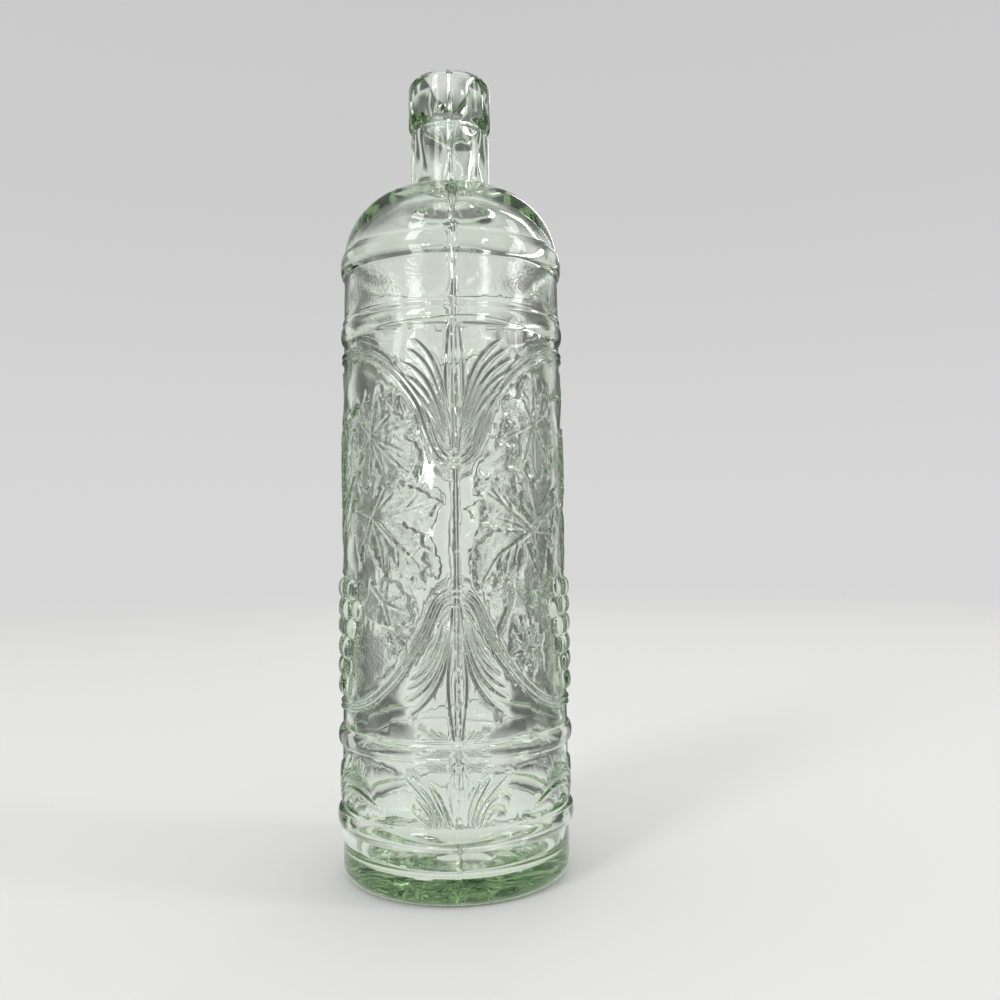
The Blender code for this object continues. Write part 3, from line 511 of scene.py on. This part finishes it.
def toothed(outline):
    # a vine leaf's edge runs in small teeth
    step = np.roll(outline, -1, axis=0) - outline
    length = np.hypot(step[:, 0], step[:, 1])
    whole = length.sum()
    along = np.cumsum(length) - length
    teeth = max(4, round(whole / leafForm["toothPitch"]))
    wave = np.abs(np.sin(math.pi * teeth * along / whole)) - 0.5
    way = np.roll(outline, -1, axis=0) - np.roll(outline, 1, axis=0)
    way /= np.linalg.norm(way, axis=1)[:, None]
    after = np.roll(outline, -1, axis=0)
    turning = np.sign((outline[:, 0] * after[:, 1] - after[:, 0] * outline[:, 1]).sum())
    outward = np.stack([way[:, 1], -way[:, 0]], axis=1) * turning
    height = leafForm["tooth"] * min(1.0, whole / leafForm["fullToothRound"])
    return outline + outward * wave[:, None] * height


def raiseLeaf(leaf, crumple):
    f = leafForm
    edge = smoothPoints(onSheet(leaf["edge"], False), cuts["leafEdge"], closed=True)
    outline = toothed(edge[:-1])
    window = windowRound(outline, sheet["cell"])
    inside = insideOf(outline, window)
    edgeAway, _ = awayFromPath(np.concatenate([outline, outline[:1]]), window)
    depth = np.where(inside, edgeAway, 0)
    step = softStep(depth / f["edge"])
    veinRise = np.zeros_like(depth)
    veinAway = np.full_like(depth, np.inf)
    for vein in leaf["veins"]:
        path = smoothPoints(onSheet([leaf["heart"]] + vein, False), cuts["vein"])
        away, along = awayFromPath(path, window)
        half = f["veinHalf"] * (f["veinRoot"] - f["veinThins"] * along)
        tall = f["veinTall"] - f["veinSinks"] * along
        veinRise = np.maximum(veinRise, tall * np.clip(1 - (away / half) ** 2, 0, 1))
        veinAway = np.minimum(veinAway, away)
    near = np.minimum(veinAway, depth * f["quiltEdge"])
    quilt = 1 - np.exp(-(near / f["quiltWidth"]) ** 2)
    rim = np.exp(-((depth - f["rimPlace"]) / f["rimWidth"]) ** 2)
    rise = f["base"] + f["rim"] * rim + f["quilt"] * quilt + f["crumple"] * crumple[window]
    relief[window] = np.maximum(relief[window], step * (rise + f["vein"] * veinRise))
    stipple[window] = np.maximum(stipple[window], f["stipple"] * step)


def raiseVine():
    coarse, fine = (soften(softNoise(seed, grain)) for seed, grain
                    in zip(leafForm["crumpleSeeds"], leafForm["crumpleGrains"]))
    crumple = coarse + leafForm["fineCrumple"] * fine
    for leaf in leaves:
        raiseLeaf(leaf, crumple)
    for points in stems["paths"]:
        path = smoothPoints(onSheet(points, False), cuts["stem"])
        raiseLine(path, np.linspace(stems["half"], stems["tipHalf"], len(path)), stems["proud"])
    chance = np.random.default_rng(grapes["seed"])
    pitch = 2 * grapes["radius"] + grapes["gap"]
    for row, count in enumerate(grapes["rows"]):
        z = grapes["top"] - row * pitch * math.sin(math.radians(grapes["rowAngle"]))
        for k in range(count):
            dx, dz, size = chance.uniform(-1, 1, 3)
            radius = grapes["radius"] + grapes["sizeChange"] * size
            x = 90 * perDegree + (k - (count - 1) / 2) * pitch
            middle = np.array([x + dx * grapes["wander"], z + dz * grapes["wander"]])
            window = windowRound(middle[None, :], radius)
            away, _ = awayFrom(middle, middle, window)
            ball = grapes["proud"] * np.sqrt(np.clip(1 - (away / radius) ** 2, 0, 1))
            relief[window] = np.maximum(relief[window], ball)


def raiseRings():
    for height, width, proud in rings.values():
        rise = proud * np.sqrt(np.clip(1 - (2 * (up - height) / width) ** 2, 0, 1))
        relief[:] = np.maximum(relief, rise[:, None])


# Rough skin: faint on the ground of the panel, stronger and wrinkled on the band under the shoulder
panelSkin = {"clear": 6.0, "stipple": 0.35}
bandSkin = {"fade": 3.0, "clear": 4.0, "stipple": 0.8, "wrinkle": 0.06, "grain": 1.4, "seed": 21}


def stippleGround():
    p = panelSkin
    upper, lower = (np.interp(across, *seamToSeam(frames[name], cuts["root"]).T)
                    for name in ("upper", "lower"))
    inPanel = (up[:, None] < upper[None, :]) & (up[:, None] > lower[None, :])
    fromSeam = np.minimum(across, across[-1] - across)
    share = np.clip((fromSeam - p["clear"]) / p["clear"], 0, 1)
    stipple[:] = np.maximum(stipple, p["stipple"] * inPanel * share[None, :])
    b = bandSkin
    low = rings["bead"][0] + rings["bead"][1]
    high = rings["shoulder"][0] - rings["shoulder"][1] / 2
    inBand = np.clip((up - low) / b["fade"], 0, 1) * np.clip((high - up) / b["fade"], 0, 1)
    inBand = inBand[:, None] * np.clip((fromSeam - b["clear"]) / b["clear"], 0, 1)[None, :]
    stipple[:] = np.maximum(stipple, b["stipple"] * inBand)
    relief[:] += b["wrinkle"] * inBand * soften(softNoise(b["seed"], b["grain"]))


def carveSheet():
    global relief, stipple
    raiseFrames()
    raiseFans()
    raiseVine()
    raiseRings()
    stippleGround()
    for _ in range(sheet["softenings"]):
        relief = soften(relief)
    stipple = soften(soften(stipple))
    print("relief carved:", relief.shape, "cells, highest", round(float(relief.max()), 2), "mm")


# The seams of the mould: thin ridges that sway and bead a little
seam = {
    "half": 0.75, "proud": 0.55, "low": 1.5, "flatness": 1.4,
    "stronger": 0.45, "strongerTo": 3,  # at the foot, up to so many heights of the base
    "sway": 0.15, "swayLengths": (1.9, 3.3), "beads": 0.3, "beadTurns": (1.9, 0.83),
    "coveredAt": 3.0,  # no ridge shows on relief that stands out this far
    "aboveFloor": 2.2, "nearWall": 3.0, "facing": 0.02,  # it stays off the push-up
}
# The slow waves that pressing leaves in the glass. A wave's shape is a sum of products of sines:
# each has a height, and for each sine how often it turns round the bottle and its length upwards.
waves = {
    "outside": 0.035, "inside": 0.24, "thicker": 1.3, "fadeTop": 12.0,
    "slow": [(1.0, (2, 11), (3, 7.3)), (0.6, (5, -4.7), (-2, 9.1))],
    "fine": [(1.0, (9, 3.1), (-4, 5.3))],
    "bore": 0.16, "boreFade": 5.0,  # the neck is drawn by hand and uneven inside
    "boreShape": [(1.0, (2, 4.3)), (1.0, (5, -5.9)), (1.0, (7, 8.7), (0, 3.7))],
}
# Lumps in the floor and the push-up. Each sine has its turns along x and y, and its shift.
lumps = {
    "floor": 0.4, "pushUp": 0.22, "pushUpFade": 3.0, "size": 4.6, "above": 1.0, "facing": 0.3,
    "shape": [(1.0, (1, 0, 1), (0, 0.8, 0)), (0.6, (1.5, 1.5, 0), (1.3, -1.3, 2)),
              (0.12, (3.1, 2, 0), (-1, 2.7, 0))],
}


def selectNothing():
    bpy.ops.object.select_all(action="DESELECT")


def profileLine(points):
    # one point, extruded from place to place along the profile
    selectNothing()
    bpy.ops.mesh.primitive_plane_add(size=mm, location=(0, 0, 0), enter_editmode=True)
    bpy.ops.mesh.merge(type="CENTER")
    bpy.ops.transform.translate(value=(points[0][0] * mm, 0, points[0][1] * mm))
    for (r0, z0), (r1, z1) in zip(points, points[1:]):
        step = ((r1 - r0) * mm, 0, (z1 - z0) * mm)
        if Vector(step).length > mesh["nothing"]:
            bpy.ops.mesh.extrude_region_move(TRANSFORM_OT_translate={"value": step})
    bpy.ops.object.mode_set(mode="OBJECT")
    return bpy.context.object


def cutLongEdges(piece):
    # the long straight stretches get enough points to carry the relief
    wall = (bottle["topRadius"] - sheet["slack"]) * mm
    top = (shoulderFoot + sheet["slack"]) * mm
    while True:
        points = piece.data.vertices
        wanted = {}
        for edge in piece.data.edges:
            a, b = (points[k].co for k in edge.vertices)
            onWall = min(a.x, b.x) > wall and a.z < top
            step = (mesh["rowStep"] if onWall else mesh["plainStep"]) * mm
            count = min(math.ceil((a - b).length / step) - 1, mesh["mostCuts"])
            if count > 0:
                wanted.setdefault(count, []).append(edge.index)
        if not wanted:
            return
        count = max(wanted)
        bpy.ops.object.mode_set(mode="EDIT")
        bpy.ops.mesh.select_mode(type="EDGE")
        bpy.ops.mesh.select_all(action="DESELECT")
        bpy.ops.object.mode_set(mode="OBJECT")
        for index in wanted[count]:
            piece.data.edges[index].select = True
        bpy.ops.object.mode_set(mode="EDIT")
        bpy.ops.mesh.subdivide(number_cuts=count)
        bpy.ops.object.mode_set(mode="OBJECT")


def turnRound(piece):
    modifier = piece.modifiers.new("turned", "SCREW")
    modifier.show_viewport = False
    modifier.axis = "Z"
    modifier.angle = 2 * math.pi
    modifier.steps = modifier.render_steps = mesh["columns"]
    modifier.use_merge_vertices = True
    modifier.merge_threshold = mesh["nothing"]
    bpy.ops.object.modifier_apply(modifier=modifier.name)
    bpy.ops.object.mode_set(mode="EDIT")
    bpy.ops.mesh.select_all(action="SELECT")
    bpy.ops.mesh.remove_doubles(threshold=mesh["weld"])
    bpy.ops.mesh.dissolve_degenerate(threshold=mesh["nothing"])
    bpy.ops.mesh.select_all(action="SELECT")
    bpy.ops.mesh.normals_make_consistent(inside=False)
    bpy.ops.object.mode_set(mode="OBJECT")


def readPoints(piece):
    count = len(piece.data.vertices)
    points = np.zeros(count * 3)
    piece.data.vertices.foreach_get("co", points)
    return points.reshape(-1, 3)


def sheetPlaces(points):
    # each point's row and column on the carved sheet, its distance from the axis and its turn
    turn = np.arctan2(points[:, 0], -points[:, 1]) % (2 * math.pi)
    radius = np.hypot(points[:, 0], points[:, 1]) / mm
    columns = (turn % math.pi) / math.pi * (len(across) - 1)
    rows = (points[:, 2] / mm - sheet["low"]) / sheet["cell"]
    return rows, columns, radius, turn


def baseLumps(points, normals, radius):
    # the thick base is uneven inside and below, but never lower than the surface it stands on
    x, y, _ = (points / mm / lumps["size"]).T
    shape = np.zeros(len(points))
    for height, (a, b, c), (d, e, f) in lumps["shape"]:
        shape += height * np.sin(a * x + b * y + c) * np.sin(d * x + e * y + f)
    z = points[:, 2] / mm
    flat = z < bottle["base"] + bottle["floorDome"] + lumps["above"]
    flat &= np.abs(normals[:, 2]) > lumps["facing"]
    flat &= radius < bottle["footRadius"] - bottle["heel"] - bottle["land"]
    fade = np.clip(z / lumps["pushUpFade"], 0, 1)
    proud = np.where(normals[:, 2] > 0, lumps["floor"], lumps["pushUp"] * fade)
    return np.where(flat, shape * proud, 0)


def waved(shape, turn, z):
    total = np.zeros(len(z))
    for height, *sines in shape:
        for turns, length in sines:
            height = height * np.sin(turns * turn + z / length)
        total += height
    return total


def emboss(piece):
    points = readPoints(piece)
    normals = np.zeros(points.size)
    piece.data.vertices.foreach_get("normal", normals)
    normals = normals.reshape(-1, 3)
    rows, columns, radius, turn = sheetPlaces(points)
    z = points[:, 2] / mm
    outward = normals[:, 0] * np.sin(turn) - normals[:, 1] * np.cos(turn)
    onWall = (outward > sheet["facing"]) & (radius > bodyRadius(z) - bottle["wall"] / 2)
    onWall &= (z > sheet["low"]) & (z < shoulderFoot + sheet["slack"])
    outside = z > bottle["base"] * seam["aboveFloor"]
    outside |= radius > bottle["footRadius"] - seam["nearWall"]
    outside &= (outward > seam["facing"]) & (z > seam["low"])
    outside &= z < bottle["height"] - bottle["lipRound"] / 2
    rise = np.where(onWall, readSheet(relief, rows, columns), 0)
    fromSeam = np.minimum(turn % math.pi, math.pi - turn % math.pi) * radius
    sway, bead = seam["swayLengths"], seam["beadTurns"]
    fromSeam = fromSeam + seam["sway"] * np.sin(z / sway[0]) * np.sin(z / sway[1] + 1)
    ridge = seam["proud"] * np.clip(1 - (np.abs(fromSeam) / seam["half"]) ** seam["flatness"], 0, 1)
    ridge *= 1 + seam["beads"] * np.sin(bead[0] * z) * np.sin(bead[1] * z)
    strongerTo = bottle["base"] * seam["strongerTo"]
    ridge *= 1 + seam["stronger"] * np.clip((strongerTo - z) / bottle["base"], 0, 1)
    rise = np.where(outside, rise + ridge * np.clip(1 - rise / seam["coveredAt"], 0, 1), rise)
    slow = waved(waves["slow"], turn, z)
    rise += np.where(onWall, waves["outside"] * (slow + waved(waves["fine"], turn, z)), 0)
    inner = np.clip(-outward, 0, 1) * (radius > bottle["bore"] + sheet["slack"])
    inner *= np.clip((z - bottle["base"]) / bottle["floorCorner"], 0, 1)
    inner *= np.clip((shoulderFoot - z) / waves["fadeTop"], 0, 1)
    rise += waves["inside"] * (slow + waves["thicker"]) * inner + baseLumps(points, normals, radius)
    bore = np.clip(-outward, 0, 1) * (radius < bottle["bore"] + sheet["slack"])
    bore *= np.clip((z - shoulderTop) / waves["boreFade"], 0, 1)
    bore *= np.clip((bottle["height"] - z) / waves["boreFade"], 0, 1)
    rise += waves["bore"] * bore * waved(waves["boreShape"], turn, z)
    moved = points + normals * rise[:, None] * mm
    piece.data.vertices.foreach_set("co", moved.ravel())
    piece.data.update()


def thin(piece):
    # fewest triangles where the glass is plain, most where it is carved
    bpy.ops.object.mode_set(mode="EDIT")
    bpy.ops.mesh.select_all(action="SELECT")
    bpy.ops.mesh.quads_convert_to_tris()
    bpy.ops.object.mode_set(mode="OBJECT")
    modifier = piece.modifiers.new("thinned", "DECIMATE")
    modifier.show_viewport = False  # it is worked out once, when it is applied
    modifier.ratio = min(1.0, mesh["triangles"] / len(piece.data.polygons))
    bpy.ops.object.modifier_apply(modifier=modifier.name)


def markStipple(piece):
    points = readPoints(piece)
    rows, columns, radius, _ = sheetPlaces(points)
    z = points[:, 2] / mm
    top = sheet["high"] - 2 * sheet["slack"]
    onWall = (radius > bodyRadius(z) - bottle["wall"] / 2) & (z < top)
    mark = piece.data.attributes.new("stipple", "FLOAT", "POINT")
    mark.data.foreach_set("value", np.where(onWall, readSheet(stipple, rows, columns), 0.0))


# Pale green glass. Its colour comes from its depth: faint in the wall, strong in the base. The
# depths of its bumps are in metres.
glass = {
    "tint": (0.99, 1.0, 0.99, 1), "roughness": 0.0, "ior": 1.52,
    "absorbed": (0.40, 0.61, 0.29, 1), "absorbing": 31.0,
    "swellSize": 70.0, "swellDepth": 0.00012, "stippleSize": 1050.0, "stippleDepth": 0.00012,
}


def addNode(material, kind, place, **values):
    node = material.node_tree.nodes.new(kind)
    node.location = place
    for name, value in values.items():
        node.inputs[name].default_value = value
    return node


def glassMaterial():
    material = bpy.data.materials.new("pale green glass")
    material.use_nodes = True
    link = material.node_tree.links.new
    shader = material.node_tree.nodes["Principled BSDF"]
    output = material.node_tree.nodes["Material Output"]
    shader.inputs["Base Color"].default_value = glass["tint"]
    shader.inputs["Roughness"].default_value = glass["roughness"]
    shader.inputs["IOR"].default_value = glass["ior"]
    shader.inputs["Transmission Weight"].default_value = 1.0
    place = addNode(material, "ShaderNodeTexCoord", (-1100, 0))
    swell = addNode(material, "ShaderNodeTexNoise", (-850, 120), Scale=glass["swellSize"],
                    Detail=1.0)
    grain = addNode(material, "ShaderNodeTexNoise", (-850, -160), Scale=glass["stippleSize"],
                    Detail=2.0)
    mark = addNode(material, "ShaderNodeAttribute", (-850, -420))
    mark.attribute_name = "stipple"
    masked = addNode(material, "ShaderNodeMath", (-620, -220))
    masked.operation = "MULTIPLY"
    swellBump = addNode(material, "ShaderNodeBump", (-400, 120), Distance=glass["swellDepth"])
    grainBump = addNode(material, "ShaderNodeBump", (-200, -60), Distance=glass["stippleDepth"])
    link(place.outputs["Object"], swell.inputs["Vector"])
    link(place.outputs["Object"], grain.inputs["Vector"])
    link(grain.outputs["Fac"], masked.inputs[0])
    link(mark.outputs["Fac"], masked.inputs[1])
    link(swell.outputs["Fac"], swellBump.inputs["Height"])
    link(masked.outputs["Value"], grainBump.inputs["Height"])
    link(swellBump.outputs["Normal"], grainBump.inputs["Normal"])
    link(grainBump.outputs["Normal"], shader.inputs["Normal"])
    depth = addNode(material, "ShaderNodeVolumeAbsorption", (0, -400), Color=glass["absorbed"],
                    Density=glass["absorbing"])
    link(depth.outputs["Volume"], output.inputs["Volume"])
    return material


def makeBottle():
    piece = profileLine(outerProfile() + innerProfile())
    piece.name = piece.data.name = "bottle_glass"
    cutLongEdges(piece)
    print("profile drawn:", len(piece.data.vertices), "points")
    turnRound(piece)
    print("profile turned:", len(piece.data.vertices), "points")
    emboss(piece)
    thin(piece)
    print("glass embossed and thinned:", len(piece.data.polygons), "triangles")
    markStipple(piece)
    bpy.ops.object.shade_smooth()
    piece.data.materials.clear()
    piece.data.materials.append(glassMaterial())
    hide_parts("glass_bottle")
    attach(piece, "root")
    return piece


carveSheet()
makeBottle()

# The studio, in metres: a pale floor and a pale sky. What the glass bends into view is darker in
# places, as a real room is, so that the relief shows.
studio = {
    "floorSize": 60.0, "floorColour": (0.80, 0.80, 0.79, 1), "floorRoughness": 0.6,
    "floorGloss": 0.2, "floorDrop": 0.00005,
    "floorInGlass": 0.84, "floorFade": (0.5, 2.2),
    "fill": 0.85,
    # grey at the sine of each height above the horizon
    "clearSky": [(0.0, 0.68), (0.42, 0.60), (0.95, 0.35)],
    "glassSky": [(0.0, 0.84), (0.42, 0.74), (0.60, 0.20), (0.72, 0.25), (0.92, 0.9)],
    "bands": 8.0, "bandStart": 0.75, "bandFull": -0.1, "bandDark": 0.85,
    "bandsEndHeight": (0.22, 0.36), "bandsBeginAway": (0.06, 0.25),
}
lamps = {
    "key": {"place": (-1.3, -1.5, 1.5), "size": (0.5, 1.3), "watts": 14},
    "side": {"place": (1.7, -0.5, 0.9), "size": (0.35, 1.3), "watts": 7},
    "back": {"place": (0.7, 1.9, 1.3), "size": (0.2, 0.9), "watts": 1.7},
    "glintLeft": {"place": (-0.51, -1.09, 0.24), "size": (0.16, 0.08), "watts": 0.9,
                  "onFloor": False},
    "glintRight": {"place": (0.66, -1.0, 0.55), "size": (0.1, 0.1), "watts": 0.6,
                   "onFloor": False},
}


def addStep(nodes, link, operation, *values):
    node = nodes.new("ShaderNodeMath")
    node.operation = operation
    for k, value in enumerate(values):
        if isinstance(value, float):
            node.inputs[k].default_value = value
        else:
            link(value, node.inputs[k])
    return node.outputs["Value"]


def addRange(nodes, link, value, limits, results):
    node = nodes.new("ShaderNodeMapRange")
    node.interpolation_type = "SMOOTHSTEP"
    link(value, node.inputs["Value"])
    node.inputs["From Min"].default_value, node.inputs["From Max"].default_value = limits
    node.inputs["To Min"].default_value, node.inputs["To Max"].default_value = results
    return node.outputs["Result"]


def bandGroup():
    # upright dark bands round the bottle, between the sides from which it is mostly seen
    group = bpy.data.node_groups.new("dark bands", "ShaderNodeTree")
    group.interface.new_socket(name="Place", in_out="INPUT", socket_type="NodeSocketVector")
    group.interface.new_socket(name="Darkness", in_out="OUTPUT", socket_type="NodeSocketFloat")
    nodes = group.nodes
    link = group.links.new
    place = nodes.new("NodeGroupInput")
    result = nodes.new("NodeGroupOutput")
    split = nodes.new("ShaderNodeSeparateXYZ")
    link(place.outputs["Place"], split.inputs["Vector"])
    turn = addStep(nodes, link, "ARCTAN2", split.outputs["Y"], split.outputs["X"])
    wave = addStep(nodes, link, "COSINE", addStep(nodes, link, "MULTIPLY", turn, studio["bands"]))
    dark = addRange(nodes, link, wave, (studio["bandFull"], studio["bandStart"]),
                    (studio["bandDark"], 0.0))
    link(dark, result.inputs["Darkness"])
    return group


def seenInGlass(nodes, link):
    # whether the camera sees the light straight, and whether glass or gloss brings it into view
    ray = nodes.new("ShaderNodeLightPath")
    either = addStep(nodes, link, "MAXIMUM", ray.outputs["Is Glossy Ray"],
                     ray.outputs["Is Transmission Ray"])
    return ray.outputs["Is Camera Ray"], either


def mixShaders(nodes, link, share, first, second):
    mix = nodes.new("ShaderNodeMixShader")
    link(share, mix.inputs["Fac"])
    link(first, mix.inputs[1])
    link(second, mix.inputs[2])
    return mix.outputs["Shader"]


def makeFloor(bands):
    selectNothing()
    height = footCorner.z - studio["floorDrop"]
    bpy.ops.mesh.primitive_plane_add(size=studio["floorSize"], location=(0, 0, height))
    floor = bpy.context.object
    floor.name = "studio_floor"
    material = bpy.data.materials.new("studio floor")
    material.use_nodes = True
    nodes = material.node_tree.nodes
    link = material.node_tree.links.new
    shader = nodes["Principled BSDF"]
    shader.inputs["Base Color"].default_value = studio["floorColour"]
    shader.inputs["Roughness"].default_value = studio["floorRoughness"]
    shader.inputs["Specular IOR Level"].default_value = studio["floorGloss"]
    place = nodes.new("ShaderNodeTexCoord")
    band = nodes.new("ShaderNodeGroup")
    band.node_tree = bands
    link(place.outputs["Object"], band.inputs["Place"])
    length = nodes.new("ShaderNodeVectorMath")
    length.operation = "LENGTH"
    link(place.outputs["Object"], length.inputs[0])
    away = addRange(nodes, link, length.outputs["Value"], studio["bandsBeginAway"], (0.0, 1.0))
    dark = addStep(nodes, link, "MULTIPLY", band.outputs["Darkness"], away)
    light = addStep(nodes, link, "SUBTRACT", 1.0, dark)
    cameraRay, inGlass = seenInGlass(nodes, link)
    plain = nodes.new("ShaderNodeEmission")
    link(addStep(nodes, link, "MULTIPLY", light, studio["floorInGlass"]), plain.inputs["Strength"])
    near = mixShaders(nodes, link, inGlass, shader.outputs["BSDF"], plain.outputs["Emission"])
    # far off it takes the colour of the sky's edge, so that no horizon shows
    edge = nodes.new("ShaderNodeEmission")
    edge.inputs["Strength"].default_value = studio["clearSky"][0][1]
    far = addRange(nodes, link, length.outputs["Value"], studio["floorFade"], (0.0, 1.0))
    farSeen = addStep(nodes, link, "MULTIPLY", far, cameraRay)
    whole = mixShaders(nodes, link, farSeen, near, edge.outputs["Emission"])
    link(whole, nodes["Material Output"].inputs["Surface"])
    floor.data.materials.append(material)


def skyRamp(nodes, link, height, stops):
    ramp = nodes.new("ShaderNodeValToRGB")
    ramp.color_ramp.interpolation = "EASE"
    for k, (place, grey) in enumerate(stops):
        known = ramp.color_ramp.elements
        stop = known[k] if k < 2 else known.new(place)
        stop.position = place
        stop.color = (grey, grey, grey, 1)
    link(height, ramp.inputs["Fac"])
    return ramp.outputs["Color"]


def makeSky(bands):
    world = bpy.data.worlds.new("studio sky")
    bpy.context.scene.world = world
    world.use_nodes = True
    nodes = world.node_tree.nodes
    link = world.node_tree.links.new
    nodes.clear()
    place = nodes.new("ShaderNodeTexCoord")
    split = nodes.new("ShaderNodeSeparateXYZ")
    link(place.outputs["Generated"], split.inputs["Vector"])
    height = split.outputs["Z"]
    band = nodes.new("ShaderNodeGroup")
    band.node_tree = bands
    link(place.outputs["Generated"], band.inputs["Place"])
    low = addRange(nodes, link, height, studio["bandsEndHeight"], (1.0, 0.0))
    dark = addStep(nodes, link, "MULTIPLY", band.outputs["Darkness"], low)
    fill, direct, inGlass = (nodes.new("ShaderNodeBackground") for _ in range(3))
    fill.inputs["Strength"].default_value = studio["fill"]
    fill.inputs["Color"].default_value = (1, 1, 1, 1)
    link(skyRamp(nodes, link, height, studio["clearSky"]), direct.inputs["Color"])
    link(skyRamp(nodes, link, height, studio["glassSky"]), inGlass.inputs["Color"])
    link(addStep(nodes, link, "SUBTRACT", 1.0, dark), inGlass.inputs["Strength"])
    cameraRay, glassRay = seenInGlass(nodes, link)
    direct, fill, inGlass = (sky.outputs["Background"] for sky in (direct, fill, inGlass))
    whole = mixShaders(nodes, link, cameraRay, fill, direct)
    whole = mixShaders(nodes, link, glassRay, whole, inGlass)
    output = nodes.new("ShaderNodeOutputWorld")
    link(whole, output.inputs["Surface"])


def makeLamps():
    aim = Vector((0, 0, bottle["height"] * mm / 2))
    for name, lamp in lamps.items():
        data = bpy.data.lights.new("lamp " + name, "AREA")
        data.shape = "RECTANGLE"
        data.size, data.size_y = lamp["size"]
        data.energy = lamp["watts"]
        holder = bpy.data.objects.new("lamp_" + name, data)
        bpy.context.scene.collection.objects.link(holder)
        holder.location = lamp["place"]
        holder.rotation_euler = (aim - holder.location).to_track_quat("-Z", "Y").to_euler()
        holder.visible_camera = False
        holder.visible_diffuse = lamp.get("onFloor", True)


# The camera stands where the photograph's did. What it sees starts and ends in metres.
camera = {"place": (-6.48, -354.19, 119.58), "lens": 34.2, "sensor": 36.0,
          "roll": -3.851, "tilt": 2.414, "pan": -0.729, "nearest": 0.01, "farthest": 60.0}


def makeCamera():
    data = bpy.data.cameras.new("camera")
    data.lens = camera["lens"]
    data.sensor_width = camera["sensor"]
    data.clip_start = camera["nearest"]
    data.clip_end = camera["farthest"]
    holder = bpy.data.objects.new("camera", data)
    bpy.context.scene.collection.objects.link(holder)
    turn = (Matrix.Rotation(math.radians(camera["roll"]), 4, "Z")
            @ Matrix.Rotation(math.radians(90 + camera["tilt"]), 4, "X")
            @ Matrix.Rotation(math.radians(camera["pan"]), 4, "Z"))
    holder.matrix_world = Matrix.Translation(Vector(camera["place"]) * mm) @ turn
    bpy.context.scene.camera = holder


# Light turns back many times inside the thick glass before it gets out
lightPaths = {"max_bounces": 40, "glossy_bounces": 32, "transmission_bounces": 32}
for name, count in lightPaths.items():
    setattr(bpy.context.scene.cycles, name, count)

bands = bandGroup()
makeFloor(bands)
makeSky(bands)
makeLamps()
makeCamera()
bpy.context.scene.view_settings.view_transform = "Standard"
print("studio set")
